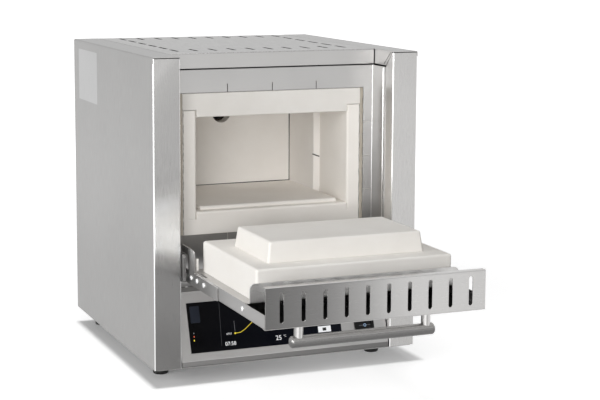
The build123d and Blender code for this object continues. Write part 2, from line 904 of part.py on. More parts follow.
# Door tray over the rails, with its lip in front of the insulation
tray_top = rail_top + sheet
flange_x = door_half_width - sheet - touch
tray_slot_x = door_half_width - tray_slot_inset
with BuildPart() as door_tray:
    with BuildSketch(across(-tray_lip_half_width)):
        add(
            folded(
                (
                    (back(tray_rear), up(rail_top)),
                    (back(tray_lip_front), up(rail_top)),
                    (back(tray_lip_front), up(rail_top + tray_lip_height)),
                ),
                Side.RIGHT,
            )
        )
    extrude(amount=2 * tray_lip_half_width)
    lip_corners = door_tray.edges().filter_by(Axis.Y).group_by(Axis.Z)[-1]
    fillet(lip_corners, radius=tray_lip_corner)
    with BuildSketch(level(rail_top)):
        with Locations((0, back((tray_rear + tray_lip_front) / 2 + bend))):
            Rectangle(2 * door_half_width, tray_rear - tray_lip_front - 2 * bend)
    extrude(amount=sheet)
    with BuildSketch(level(rail_top)):
        with Locations((-tray_slot_x, back(tray_slot_y)), (tray_slot_x, back(tray_slot_y))):
            SlotOverall(tray_slot_length, tray_slot_width, rotation=90)
    extrude(amount=sheet, mode=Mode.SUBTRACT)
    with BuildSketch(level(rail_top - tray_flange)):
        with Locations((0, back((tray_rear + tray_lip_front) / 2))):
            with GridLocations(2 * flange_x - sheet, 0, 2, 1):
                Rectangle(sheet, tray_rear - tray_lip_front - 4 * bend)
    extrude(amount=tray_flange)
save(door_tray, "door_tray")

# Insulation block of the door; closed, height z on the casing is depth hinge_sum - z on the open door
hinge_sum = hinge_height + hinge_setback
slab_front = hinge_sum - mouth_high - block_upper_cover
slab_back = hinge_sum - mouth_low + block_lower_cover
slab_top = hinge_height + collar_front - seal_gap - hinge_setback
with BuildPart() as door_insulation:
    with BuildSketch(level(tray_top)):
        with Locations((0, back((slab_front + slab_back) / 2))):
            Rectangle(2 * block_half_width, slab_back - slab_front)
    extrude(amount=slab_top - tray_top)
    fillet(door_insulation.edges().filter_by(Axis.Z), radius=fibre_edge)
    fillet(door_insulation.faces().sort_by(Axis.Z)[-1].edges(), radius=fibre_edge)
save(door_insulation, "door_insulation")

# Plug that enters the mouth of the chamber
plug_front = hinge_sum - mouth_high + plug_clearance
plug_back = hinge_sum - mouth_low - plug_clearance
plug_half_width = mouth_half_width - plug_clearance
plug_top = slab_top + plug_height
cap_y = plug_back - plug_draw - cap_inset
cap_x = mouth_half_width - cap_spacing
cap_places = [(-cap_x, back(cap_y)), (cap_x, back(cap_y))]
with BuildPart() as door_plug:
    with BuildSketch(level(slab_top)):
        with Locations((0, back((plug_front + plug_back) / 2))):
            Rectangle(2 * plug_half_width, plug_back - plug_front)
    extrude(amount=plug_height, taper=degrees(atan(plug_draw / plug_height)))
    upright_edges = door_plug.edges().filter_by(lambda edge: abs(edge.tangent_at(0).Z) > 0.5)
    fillet(upright_edges, radius=fibre_edge)
    fillet(door_plug.faces().sort_by(Axis.Z)[-1].edges(), radius=fibre_edge)
    with BuildSketch(level(plug_top)):
        with Locations(*cap_places):
            Circle(cap_radius)
    extrude(amount=-cap_depth, mode=Mode.SUBTRACT)
save(door_plug, "door_plug")

with BuildPart() as plug_caps:
    with BuildSketch(level(plug_top - cap_depth)):
        with Locations(*cap_places):
            Circle(cap_radius - touch)
    extrude(amount=cap_depth)
save(plug_caps, "plug_caps")

# Handle bar, its two posts under the skin and their screws inside the door
handle_z = door_skin - handle_drop
with BuildPart() as handle_bar:
    with BuildSketch(across(-handle_half_length)):
        with Locations((back(handle_y), up(handle_z))):
            Circle(handle_radius)
    extrude(amount=2 * handle_half_length)
    chamfer(handle_bar.edges().filter_by(GeomType.CIRCLE), length=handle_radius / 3)
save(handle_bar, "handle_bar")

post_places = [(-post_x, back(handle_y)), (post_x, back(handle_y))]
with BuildPart() as handle_posts:
    with BuildSketch(level(handle_z)):
        with Locations(*post_places):
            Circle(post_radius)
    extrude(amount=handle_drop)
    add(handle_bar.part, mode=Mode.SUBTRACT)
    with BuildSketch(level(door_skin - screw_depth)):
        with Locations(*post_places):
            Circle(screw_radius)
    extrude(amount=screw_depth, mode=Mode.SUBTRACT)
save(handle_posts, "handle_posts")

with BuildPart() as handle_screws:
    with BuildSketch(level(door_skin - screw_depth)):
        with Locations(*post_places):
            Circle(screw_radius)
    extrude(amount=screw_depth + sheet)
    with BuildSketch(level(door_skin + sheet)):
        with Locations(*post_places):
            RegularPolygon(head_radius, head_sides)
    extrude(amount=head_height)
save(handle_screws, "handle_screws")

# Control panel between the pillars: toe, inclined face and ledge under the door
panel_tilt = atan2(panel_top_setback - panel_toe, panel_height - panel_toe_height)
ledge_rear = frame_front - sheet
panel_face = Plane(
    origin=(0, back(panel_toe), up(panel_toe_height)),
    x_dir=(1, 0, 0),
    z_dir=(0, -cos(panel_tilt), sin(panel_tilt)),
)


def panel_inside(distance):
    """Plane parallel to the inclined face, at a distance behind its outer surface."""
    return panel_face.offset(-distance)


display_middle = ((display_left + display_right) / 2, (display_low + display_high) / 2)
display_width = display_right - display_left
display_height = display_high - display_low
switch_middle = (switch_left + switch_width / 2, switch_low + switch_height / 2)
switch_body_width = switch_width - 2 * switch_bezel
switch_body_height = switch_height - 2 * switch_bezel
with BuildPart() as control_panel:
    with BuildSketch(across(-panel_half_width)):
        add(
            folded(
                (
                    (back(panel_foot), up(0)),
                    (back(panel_toe), up(panel_toe_height)),
                    (back(panel_top_setback), up(panel_height)),
                    (back(ledge_rear), up(panel_height)),
                ),
                Side.RIGHT,
            )
        )
    extrude(amount=2 * panel_half_width)
    with BuildSketch(panel_inside(-sheet)):
        with Locations(display_middle):
            Rectangle(display_width + 2 * touch, display_height + 2 * touch)
        with Locations(switch_middle):
            Rectangle(switch_body_width + 2 * touch, switch_body_height + 2 * touch)
    extrude(amount=-4 * sheet, mode=Mode.SUBTRACT)
save(control_panel, "control_panel")

# Glass of the controller, standing a little proud, with a window for the data socket
usb_middle = (usb_left + usb_width / 2, usb_low + usb_height / 2)
usb_window = (usb_width - 2 * usb_window_margin, usb_height - 2 * usb_window_margin)
with BuildPart() as controller_glass:
    with BuildSketch(panel_inside(-glass_proud)):
        with Locations(display_middle):
            RectangleRounded(display_width, display_height, glass_corner)
        with Locations(usb_middle):
            Rectangle(*usb_window, mode=Mode.SUBTRACT)
    extrude(amount=-glass_thickness)
save(controller_glass, "controller_glass")

glass_rear = glass_thickness - glass_proud
housing_width = display_width - 2 * usb_wall
housing_height = display_height - 2 * housing_margin
with BuildPart() as controller_housing:
    with BuildSketch(panel_inside(glass_rear)):
        with Locations(display_middle):
            Rectangle(housing_width, housing_height)
    extrude(amount=-housing_depth)
    with BuildSketch(panel_inside(glass_rear)):
        with Locations(usb_middle):
            Rectangle(usb_shell_width, usb_shell_height)
    extrude(amount=-usb_shell_depth, mode=Mode.SUBTRACT)
save(controller_housing, "controller_housing")

# Data socket behind the cover flap
with BuildPart() as usb_socket:
    with BuildSketch(panel_inside(glass_rear)):
        with Locations(usb_middle):
            Rectangle(usb_shell_width, usb_shell_height)
            Rectangle(usb_shell_width - 2 * usb_wall, usb_shell_height - 2 * usb_wall, mode=Mode.SUBTRACT)
    extrude(amount=-usb_shell_depth)
    with BuildSketch(panel_inside(glass_rear + usb_shell_depth - usb_wall)):
        with Locations(usb_middle):
            Rectangle(usb_shell_width, usb_shell_height)
    extrude(amount=-usb_wall)
    with BuildSketch(panel_inside(glass_rear + usb_wall)):
        with Locations((usb_middle[0] - usb_wall, usb_middle[1])):
            Rectangle(2 * usb_wall, usb_shell_height - 4 * usb_wall)
    extrude(amount=-(usb_shell_depth - 2 * usb_wall))
save(usb_socket, "usb_socket")

# Cover flap over the data socket, hinged along its left edge
with BuildPart() as usb_cover:
    with BuildSketch(panel_inside(-glass_proud - usb_gap)):
        with Locations(usb_middle):
            RectangleRounded(usb_width, usb_height, glass_corner)
    extrude(amount=usb_thickness)
save(usb_cover, "usb_cover")

# Power switch: bezel and body, with bores for the rocker's axle
rocker_centre = panel_face.from_local_coords((switch_middle[0], switch_middle[1], -switch_bezel))
rocker_length = switch_body_width - 2 * switch_wall
rocker_plane = Plane(origin=rocker_centre, x_dir=(0, sin(panel_tilt), cos(panel_tilt)), z_dir=(1, 0, 0))
with BuildPart() as switch_housing:
    with BuildSketch(panel_face):
        with Locations(switch_middle):
            RectangleRounded(switch_width, switch_height, glass_corner)
    extrude(amount=switch_bezel)
    with BuildSketch(panel_face):
        with Locations(switch_middle):
            Rectangle(switch_body_width, switch_body_height)
    extrude(amount=-switch_body_depth)
    with BuildSketch(rocker_plane):
        Circle(rocker_radius + rocker_gap)
    extrude(amount=rocker_length / 2 + rocker_gap, both=True, mode=Mode.SUBTRACT)
    with BuildSketch(rocker_plane):
        Circle(rocker_axle_radius + hinge_clearance)
    extrude(amount=rocker_length / 2 + switch_wall - usb_wall, both=True, mode=Mode.SUBTRACT)
save(switch_housing, "switch_housing")

# Rocker with its two pressed faces, tilted to its resting side
with BuildPart() as switch_rocker:
    with BuildSketch(rocker_plane):
        Circle(rocker_radius)
        Polygon(
            (-2 * rocker_radius, rocker_valley + rocker_rise),
            (0, rocker_valley),
            (2 * rocker_radius, rocker_valley + rocker_rise),
            (2 * rocker_radius, 2 * rocker_radius),
            (-2 * rocker_radius, 2 * rocker_radius),
            rotation=rocker_tilt,
            align=None,
            mode=Mode.SUBTRACT,
        )
    extrude(amount=rocker_length / 2, both=True)
    with BuildSketch(rocker_plane):
        Circle(rocker_axle_radius)
    extrude(amount=rocker_length / 2 + switch_wall - 2 * usb_wall, both=True)
save(switch_rocker, "switch_rocker")

# Finned heat sink on the base plate, with the solid-state relay on top
heatsink_y = back(case_depth / 2)
heatsink_x = wall_x / 2
with BuildPart() as heatsink:
    with BuildSketch(Plane.XZ.offset(-heatsink_y + heatsink_depth / 2)):
        with Locations((heatsink_x, up(heatsink_height - 2 * fin_thickness))):
            Rectangle(heatsink_width, 2 * fin_thickness, align=(Align.CENTER, Align.MIN))
        with Locations((heatsink_x, up((heatsink_height - 2 * fin_thickness) / 2))):
            with GridLocations((heatsink_width - fin_thickness) / (heatsink_fins - 1), 0, heatsink_fins, 1):
                Rectangle(fin_thickness, heatsink_height - 2 * fin_thickness)
    extrude(amount=-heatsink_depth)
save(heatsink, "heatsink")

with BuildPart() as power_relay:
    with BuildSketch(level(heatsink_height)):
        with Locations((heatsink_x, heatsink_y)):
            Rectangle(relay_width, relay_depth)
            with Locations((0, relay_depth / 2), (0, -relay_depth / 2)):
                Rectangle(2 * screw_radius, 2 * screw_radius, mode=Mode.SUBTRACT)
    extrude(amount=relay_height)
    chamfer(power_relay.faces().sort_by(Axis.Z)[-1].outer_wire().edges(), length=relay_edge)
save(power_relay, "power_relay")

# Terminal block where the mains lead arrives
terminal_y = back(case_depth - 3 * terminal_depth)
clamp_screw_inset = terminal_depth / 3
with BuildPart() as terminal_block:
    with BuildSketch(level(0)):
        with Locations((gland_x, terminal_y)):
            with GridLocations(terminal_pitch, 0, terminal_ways, 1):
                Rectangle(terminal_pitch - seam, terminal_depth)
            Rectangle(terminal_ways * terminal_pitch, terminal_depth / 2)
    extrude(amount=terminal_height)
    with BuildSketch(level(terminal_height)):
        with Locations((gland_x, terminal_y - clamp_screw_inset), (gland_x, terminal_y + clamp_screw_inset)):
            with GridLocations(terminal_pitch, 0, terminal_ways, 1):
                Rectangle(2 * screw_radius, 2 * screw_radius)
    extrude(amount=-screw_depth, mode=Mode.SUBTRACT)
save(terminal_block, "terminal_block")

# Cable gland for the mains lead: threaded body, hexagon, dome and inner lock nut
gland_centre = (gland_x, up(gland_height))
with BuildPart() as cable_gland:
    with BuildSketch(facing(rear_panel_y - sheet - lip)):
        with Locations(gland_centre):
            Circle(gland_radius - touch)
    extrude(amount=-(sheet + lip))
    with BuildSketch(facing(rear_panel_y - sheet - gland_radius / 2)):
        with Locations(gland_centre):
            RegularPolygon(gland_hex_radius, 6)
    extrude(amount=-gland_radius / 2)
    with BuildSketch(facing(rear_panel_y)):
        with Locations(gland_centre):
            RegularPolygon(gland_hex_radius, 6)
    extrude(amount=-gland_length / 2)
    with BuildSketch(facing(rear_panel_y + gland_length / 2)):
        with Locations(gland_centre):
            Circle(gland_radius)
    extrude(amount=-gland_length / 2)
    with BuildSketch(facing(rear_panel_y - sheet - lip)):
        with Locations(gland_centre):
            Circle(gland_bore)
    extrude(amount=-(sheet + lip + gland_length), mode=Mode.SUBTRACT)
save(cable_gland, "cable_gland")

# Screws: along the door rails and round the rear panel
with BuildPart() as rail_screws:
    for screw_side in (-1, 1):
        for screw_y in rail_screw_rows:
            seat_x = arm_x if screw_y > -arm_reach else door_half_width
            with BuildSketch(Plane.YZ.offset(screw_side * seat_x)):
                with Locations((back(screw_y), up(door_skin + rail_screw_rise))):
                    RegularPolygon(head_radius, head_sides)
            extrude(amount=screw_side * head_height)
save(rail_screws, "rail_screws")

with BuildPart() as rear_screws:
    with BuildSketch(facing(rear_panel_y)):
        with Locations((0, up(rear_height / 2))):
            with GridLocations(2 * (rear_half_width - lip), (rear_height - 2 * lip) / 2, 2, 3):
                RegularPolygon(head_radius, head_sides)
    extrude(amount=-head_height)
save(rear_screws, "rear_screws")
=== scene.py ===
from math import cos, pi, radians, sin

import bmesh
import bpy
from mathutils import Matrix, Vector


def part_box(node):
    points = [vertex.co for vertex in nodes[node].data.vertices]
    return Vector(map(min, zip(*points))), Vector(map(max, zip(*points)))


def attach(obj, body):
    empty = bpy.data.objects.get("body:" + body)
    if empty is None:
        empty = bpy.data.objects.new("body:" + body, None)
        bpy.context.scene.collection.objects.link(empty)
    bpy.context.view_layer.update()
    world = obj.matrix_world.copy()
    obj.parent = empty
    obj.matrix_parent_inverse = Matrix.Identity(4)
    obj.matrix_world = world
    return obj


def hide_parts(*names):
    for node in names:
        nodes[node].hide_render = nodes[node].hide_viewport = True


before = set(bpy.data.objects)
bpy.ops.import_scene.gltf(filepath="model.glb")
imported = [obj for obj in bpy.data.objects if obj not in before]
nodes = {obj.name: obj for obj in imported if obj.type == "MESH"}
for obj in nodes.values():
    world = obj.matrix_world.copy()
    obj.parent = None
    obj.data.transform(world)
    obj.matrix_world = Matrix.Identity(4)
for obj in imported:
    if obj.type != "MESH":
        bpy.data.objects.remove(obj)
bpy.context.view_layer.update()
scene = bpy.context.scene
scene.view_settings.view_transform = "Standard"

# The inclined control panel: a point at its foot, its way up and its way out
PANEL_FOOT = Vector((0, -0.0825, 0.0385))
PANEL_LEAN = radians(19.722)
PANEL_UP = Vector((0, sin(PANEL_LEAN), cos(PANEL_LEAN)))
PANEL_OUT = Vector((0, -cos(PANEL_LEAN), sin(PANEL_LEAN)))
GLASS_PROUD = 0.0008
PRINT_DEPTH = 0.00006

# Door, handle and screws
HANDLE_AXIS_Y = -0.3735
HANDLE_AXIS_Z = 0.136
HANDLE_LENGTH = 0.235
HANDLE_RADIUS = 0.009
HEAD_RADIUS = 0.0042
HEAD_HEIGHT = 0.0024
FOOT_RADIUS = 0.0135
# Floor lift seen by camera and glossy rays, lowered in a painted shadow beneath the casing's footprint
FLOOR_LIFT = 0.6
PAINTED_SHADOW_LIFT = (0.1, 0.22)
PAINTED_SHADOW_X = (-0.224, 0.243)
PAINTED_SHADOW_Y = (-0.078, 0.392)
AMBIENT = 0.15
# Painted reflection patch on the left pillar's front: the pillar's middle and the patch's height
PILLAR_MIDDLE = 0.207
REFLECTION_PATCH_HEIGHT = 0.245
# Near-white steel for painted highlights on bends; near-black for painted shade
BEND_HIGHLIGHT = (0.97, 0.97, 0.97)
SHADE = (0.004, 0.004, 0.004)
PLATE_Y = (0.2405, 0.3635)
PLATE_Z = (0.4235, 0.5145)


# Shader helpers

def new_finish(name):
    """Empty procedural material: the material, its node tree and its shader."""
    material = bpy.data.materials.new(name)
    material.use_nodes = True
    tree = material.node_tree
    return material, tree, tree.nodes["Principled BSDF"]


def object_pattern(tree, stretch=(1, 1, 1)):
    """Object coordinates stretched along an axis, for grain and clouds."""
    place = tree.nodes.new("ShaderNodeTexCoord")
    mapping = tree.nodes.new("ShaderNodeMapping")
    mapping.inputs["Scale"].default_value = stretch
    tree.links.new(place.outputs["Object"], mapping.inputs["Vector"])
    return mapping.outputs["Vector"]


def noise(tree, vector, scale, detail=3.0, rough=0.55):
    """Noise value over a pattern."""
    texture = tree.nodes.new("ShaderNodeTexNoise")
    texture.inputs["Scale"].default_value = scale
    texture.inputs["Detail"].default_value = detail
    texture.inputs["Roughness"].default_value = rough
    tree.links.new(vector, texture.inputs["Vector"])
    return texture.outputs["Fac"]


def spread(tree, value, low, high, start=0.3, end=0.7):
    """Maps a noise value to a range."""
    ranges = tree.nodes.new("ShaderNodeMapRange")
    ranges.inputs["From Min"].default_value = start
    ranges.inputs["From Max"].default_value = end
    ranges.inputs["To Min"].default_value = low
    ranges.inputs["To Max"].default_value = high
    tree.links.new(value, ranges.inputs["Value"])
    return ranges.outputs["Result"]


def blend_colours(tree, factor, first, second):
    """Mix of two colours by a value from 0 to 1."""
    mix = tree.nodes.new("ShaderNodeMix")
    mix.data_type = "RGBA"
    tree.links.new(factor, mix.inputs["Factor"])
    mix.inputs["A"].default_value = (*first, 1)
    mix.inputs["B"].default_value = (*second, 1)
    return mix.outputs["Result"]


def mixed(tree, factor, first, second):
    """Mix of two colours, each a socket or a plain colour, by a socket or a plain number."""
    mix = tree.nodes.new("ShaderNodeMix")
    mix.data_type = "RGBA"
    for socket, value in (("Factor", factor), ("A", first), ("B", second)):
        if isinstance(value, tuple):
            mix.inputs[socket].default_value = (*value, 1)
        elif isinstance(value, (int, float)):
            mix.inputs[socket].default_value = value
        else:
            tree.links.new(value, mix.inputs[socket])
    return mix.outputs["Result"]


def relief(tree, shader, height, distance, strength=1.0, edge=0.0):
    """Bump from a height, over edges softened by a small radius."""
    bump = tree.nodes.new("ShaderNodeBump")
    bump.inputs["Distance"].default_value = distance
    bump.inputs["Strength"].default_value = strength
    tree.links.new(height, bump.inputs["Height"])
    if edge:
        softened = tree.nodes.new("ShaderNodeBevel")
        softened.samples = 4
        softened.inputs["Radius"].default_value = edge
        tree.links.new(softened.outputs["Normal"], bump.inputs["Normal"])
    tree.links.new(bump.outputs["Normal"], shader.inputs["Normal"])


def math_step(tree, operation, first, second=None):
    """One arithmetic step between sockets or plain numbers."""
    step = tree.nodes.new("ShaderNodeMath")
    step.operation = operation
    for socket, value in zip(step.inputs, (first, second)):
        if value is None:
            continue
        if isinstance(value, (int, float)):
            socket.default_value = value
        else:
            tree.links.new(value, socket)
    return step.outputs["Value"]


def facing_parts(tree):
    """Parts of the surface's own direction along X, Y and Z."""
    place = tree.nodes.new("ShaderNodeTexCoord")
    parts = tree.nodes.new("ShaderNodeSeparateXYZ")
    tree.links.new(place.outputs["Normal"], parts.inputs["Vector"])
    return parts.outputs


def object_parts(tree):
    """Parts of the place on the object along X, Y and Z."""
    parts = tree.nodes.new("ShaderNodeSeparateXYZ")
    tree.links.new(object_pattern(tree), parts.inputs["Vector"])
    return parts.outputs


def object_place(tree, axis, low, high):
    """0 to 1 along an axis of the object, between two places."""
    return spread(tree, object_parts(tree)[axis], 0, 1, low, high)


def both(tree, *masks):
    """Product of masks."""
    total = masks[0]
    for mask in masks[1:]:
        total = math_step(tree, "MULTIPLY", total, mask)
    return total


def bends(tree):
    """1 on rounded bends of sheet that is square to the axes, 0 on its flat faces."""
    parts = facing_parts(tree)
    flat = math_step(tree, "ABSOLUTE", parts["X"])
    for axis in "YZ":
        flat = math_step(tree, "MAXIMUM", flat, math_step(tree, "ABSOLUTE", parts[axis]))
    return spread(tree, flat, 1, 0, 0.8, 0.972)


def upright_bends(tree):
    """Rounded bends that run up and down."""
    level = math_step(tree, "ABSOLUTE", facing_parts(tree)["Z"])
    return both(tree, bends(tree), spread(tree, level, 1, 0, 0.2, 0.5))


def front_faces(tree):
    """Faces to the front."""
    return spread(tree, facing_parts(tree)["Y"], 1, 0, -0.95, -0.6)


def top_faces(tree):
    """Faces that look up."""
    return spread(tree, facing_parts(tree)["Z"], 0, 1, 0.7, 0.95)


def down_faces(tree):
    """Faces that lean down."""
    return spread(tree, facing_parts(tree)["Z"], 1, 0, -0.1, 0.1)


def facing_middle(tree):
    """Faces that look to the middle of the object from either side."""
    inward = math_step(tree, "MULTIPLY", facing_parts(tree)["X"], object_parts(tree)["X"])
    return spread(tree, inward, 1, 0, -0.12, -0.06)


def facing_out(tree):
    """Faces that look away from the middle of the object on either side."""
    outward = math_step(tree, "MULTIPLY", facing_parts(tree)["X"], object_parts(tree)["X"])
    return spread(tree, outward, 0, 1, 0.12, 0.16)


def past_side(tree, near, far):
    """0 near the middle and 1 past a distance from it to either side."""
    return spread(tree, math_step(tree, "ABSOLUTE", object_parts(tree)["X"]), 0, 1, near, far)


def tray_lip(tree):
    """Front of the lip that stands up from the door's tray."""
    return both(tree, front_faces(tree), spread(tree, past_side(tree, 0.1725, 0.1735), 1, 0, 0, 1))


def panel_insides(tree):
    """Inner faces of the outer sheet."""
    return both(tree, facing_middle(tree), past_side(tree, 0.205, 0.215))


def panel_lips(tree):
    """Lips of the side panels that line the front opening."""
    return both(tree, facing_middle(tree), spread(tree, past_side(tree, 0.195, 0.205), 1, 0, 0, 1))


def plate_area(tree):
    """Bare rating plate high at the back of the left side panel."""
    parts = object_parts(tree)
    return both(tree, spread(tree, facing_parts(tree)["X"], 1, 0, -0.95, -0.6),
                spread(tree, parts["Y"], 0, 1, PLATE_Y[0], PLATE_Y[0] + 0.0006), spread(tree, parts["Y"], 1, 0, PLATE_Y[1] - 0.0006, PLATE_Y[1]),
                spread(tree, parts["Z"], 0, 1, PLATE_Z[0], PLATE_Z[0] + 0.0006), spread(tree, parts["Z"], 1, 0, PLATE_Z[1] - 0.0006, PLATE_Z[1]))


def slot_walls(tree):
    """Walls of the slots in the top cover."""
    level = math_step(tree, "ABSOLUTE", facing_parts(tree)["Z"])
    return both(tree, spread(tree, level, 1, 0, 0.3, 0.6), object_place(tree, "Y", -0.005, 0.002),
                spread(tree, object_parts(tree)["Y"], 1, 0, 0.385, 0.39),
                spread(tree, past_side(tree, 0.1795, 0.1815), 1, 0, 0, 1))


def around_handle(tree):
    """The whole of a turned bar or post."""
    return spread(tree, facing_parts(tree)["Z"], 1, 1, -1, 1)


def trough(tree):
    """Floor of the door's trough and the foot of its walls."""
    return spread(tree, object_parts(tree)["Z"], 1, 0, 0.173, 0.178)


def trough_faces(tree):
    """Faces of the trough that look up or in."""
    inside = math_step(tree, "MAXIMUM", top_faces(tree), facing_middle(tree))
    return both(tree, inside, trough(tree))


def colour_stops(tree, place, stops):
    """Colour that follows (share, colour) stops along a place from 0 to 1."""
    ramp = tree.nodes.new("ShaderNodeValToRGB")
    while len(ramp.color_ramp.elements) < len(stops):
        ramp.color_ramp.elements.new(0.5)
    for element, (share, stop_colour) in zip(ramp.color_ramp.elements, stops):
        element.position = share
        element.color = (*stop_colour, 1)
    tree.links.new(place, ramp.inputs["Fac"])
    return ramp.outputs["Color"]


def steel_grey(value):
    """Grey of stainless steel, a little warm."""
    return (value, value * 0.986, value * 0.972)


def grey_stops(*stops):
    """Colour stops from (share, grey) pairs."""
    return tuple((share, steel_grey(value)) for share, value in stops)


def along(axis, low, high, *stops):
    """Painted light and shade that run along an axis of the object."""
    return lambda tree: colour_stops(tree, object_place(tree, axis, low, high), grey_stops(*stops))


def painted_light_by_facing(axis, *stops):
    """Painted highlight and shade that follow how far a face looks along an axis."""
    return lambda tree: colour_stops(tree, spread(tree, facing_parts(tree)[axis], 0, 1, -1, 1), grey_stops(*stops))


def left_pillar_painted_reflection(tree):
    """Painted light up the left pillar's front: painted shade low down, a soft painted reflection patch that is
    taller to the right, and lighter steel toward the top.
    """
    parts = object_parts(tree)
    across_pillar = math_step(tree, "ADD", parts["X"], PILLAR_MIDDLE)
    taller = spread(tree, across_pillar, 0.9, 1.1, -0.02, 0.02)
    leaning = math_step(tree, "ADD", parts["Z"], math_step(tree, "MULTIPLY", across_pillar, 0.15))
    height = math_step(tree, "DIVIDE", math_step(tree, "SUBTRACT", leaning, REFLECTION_PATCH_HEIGHT), taller)
    place = spread(tree, math_step(tree, "ADD", height, REFLECTION_PATCH_HEIGHT), 0, 1, 0.0295, 0.5295)
    painted_shade_stops = [(share, steel_grey(value)) for share, value in (
        (0.08, 0.18), (0.2, 0.19), (0.32, 0.19), (0.36, 0.40), (0.57, 0.36), (0.61, 0.30), (0.7, 0.309),
        (0.82, 0.334), (0.94, 0.384), (0.98, 0.44))]
    painted_reflection_stops = [(0.395, (0.84, 0.85, 0.855)), (0.44, (0.86, 0.87, 0.88)), (0.485, (0.76, 0.765, 0.77)),
              (0.53, (0.58, 0.582, 0.585))]
    return colour_stops(tree, place, sorted(painted_shade_stops + painted_reflection_stops))


def lip_painted_highlight(tree):
    """Painted highlight up a side panel's lip, fading darker where it turns into the gusset."""
    return along("Z", 0.13, 0.53, (0.0, 0.98), (0.5, 0.86), (0.75, 0.62), (0.86, 0.46), (1.0, 0.42))(tree)


def sheet_steel(name, colour, roughness, grain, edge=0.0005, cloud=0.06, touches=(), brushed=0.6):
    """Stainless sheet: fine grain along one axis, a cloudy tone and soft edges.

    Each touch is (where, colour or tone, gloss): faces painted lighter, darker or glossier than the rest, mostly as
    painted light, shade, highlights and reflections; the rating plate's touch is its own colour."""
    material, tree, shader = new_finish(name)
    lines = noise(tree, object_pattern(tree, grain), 1.0, 4.0, 0.6)
    clouds = noise(tree, object_pattern(tree), 5.0, 2.0)
    cloudy = spread(tree, clouds, 1 - cloud, 1)
    tone = mixed(tree, 1.0, colour, colour)
    rough = spread(tree, lines, roughness - 0.05, roughness + 0.07)
    metal = None
    for where, touch_colour, gloss in touches:
        mask = where(tree)
        # Painted shade: faces given SHADE also lose their metal, so they stay near black
        if touch_colour is SHADE:
            metal = math_step(tree, "SUBTRACT", 1.0, mask)
        tone = mixed(tree, mask, tone, touch_colour(tree) if callable(touch_colour) else touch_colour)
        if gloss:
            rough = math_step(tree, "SUBTRACT", rough, math_step(tree, "MULTIPLY", mask, gloss))
    scaled = tree.nodes.new("ShaderNodeVectorMath")
    scaled.operation = "SCALE"
    tree.links.new(tone, scaled.inputs["Vector"])
    tree.links.new(cloudy, scaled.inputs["Scale"])
    tree.links.new(scaled.outputs["Vector"], shader.inputs["Base Color"])
    tree.links.new(rough, shader.inputs["Roughness"])
    shader.inputs["Metallic"].default_value = 1.0
    if metal:
        tree.links.new(metal, shader.inputs["Metallic"])
        shader.inputs["Specular IOR Level"].default_value = 0.05
    relief(tree, shader, lines, 0.00002, brushed, edge)
    return material


def fibre_board(name, colour, shade, grit=0.00035, edge=0.0012, pits=0.0):
    """Ceramic fibre: matt, finely gritty, with faint stains and soft worn edges."""
    material, tree, shader = new_finish(name)
    pattern = object_pattern(tree)
    stains = noise(tree, pattern, 14.0, 5.0, 0.6)
    fine = noise(tree, pattern, 900.0, 3.0, 0.7)
    tree.links.new(blend_colours(tree, spread(tree, stains, 0, 1, 0.35, 0.75), colour, shade), shader.inputs["Base Color"])
    shader.inputs["Roughness"].default_value = 0.95
    shader.inputs["Specular IOR Level"].default_value = 0.2
    height = fine
    if pits:
        coarse = noise(tree, pattern, 160.0, 2.0, 0.5)
        total = tree.nodes.new("ShaderNodeMath")
        total.operation = "MULTIPLY_ADD"
        total.inputs[1].default_value = pits
        tree.links.new(coarse, total.inputs[0])
        tree.links.new(fine, total.inputs[2])
        height = total.outputs["Value"]
    relief(tree, shader, height, grit, 0.7, edge)
    return material


def moulded_plastic(name, colour, roughness, texture=0.00004, edge=0.0004, shine=0.5, wear_lift=1.25):
    """Moulded plastic or rubber with a fine grain."""
    material, tree, shader = new_finish(name)
    pattern = object_pattern(tree)
    fine = noise(tree, pattern, 1500.0, 2.0)
    wear = noise(tree, pattern, 40.0, 3.0)
    lighter = tuple(min(1, channel * wear_lift + 0.004) for channel in colour)
    tree.links.new(blend_colours(tree, spread(tree, wear, 0, 1), colour, lighter), shader.inputs["Base Color"])
    tree.links.new(spread(tree, wear, roughness - 0.04, roughness + 0.05), shader.inputs["Roughness"])
    shader.inputs["Specular IOR Level"].default_value = shine
    relief(tree, shader, fine, texture, 0.5, edge)
    return material


def lit_ink(name, colour, strength=0.7):
    """Glowing mark on the display."""
    material, tree, shader = new_finish(name)
    shader.inputs["Base Color"].default_value = (*(channel * 0.3 for channel in colour), 1)
    shader.inputs["Roughness"].default_value = 0.4
    flicker = noise(tree, object_pattern(tree), 700.0, 1.0)
    dimmer = tuple(channel * 0.92 for channel in colour)
    tree.links.new(blend_colours(tree, flicker, dimmer, colour), shader.inputs["Emission Color"])
    shader.inputs["Emission Strength"].default_value = strength
    return material


def display_glass(name):
    """Black glass front of the controller, a little bluish to one end."""
    material, tree, shader = new_finish(name)
    separate = tree.nodes.new("ShaderNodeSeparateXYZ")
    tree.links.new(object_pattern(tree), separate.inputs["Vector"])
    across_glass = spread(tree, separate.outputs["X"], 0, 1, -0.16, 0.1)
    tree.links.new(blend_colours(tree, across_glass, (0.0025, 0.0025, 0.003), (0.0025, 0.004, 0.010)),
                   shader.inputs["Base Color"])
    smears = noise(tree, object_pattern(tree), 25.0, 4.0)
    tree.links.new(spread(tree, smears, 0.05, 0.11), shader.inputs["Roughness"])
    shader.inputs["Specular IOR Level"].default_value = 0.07
    return material


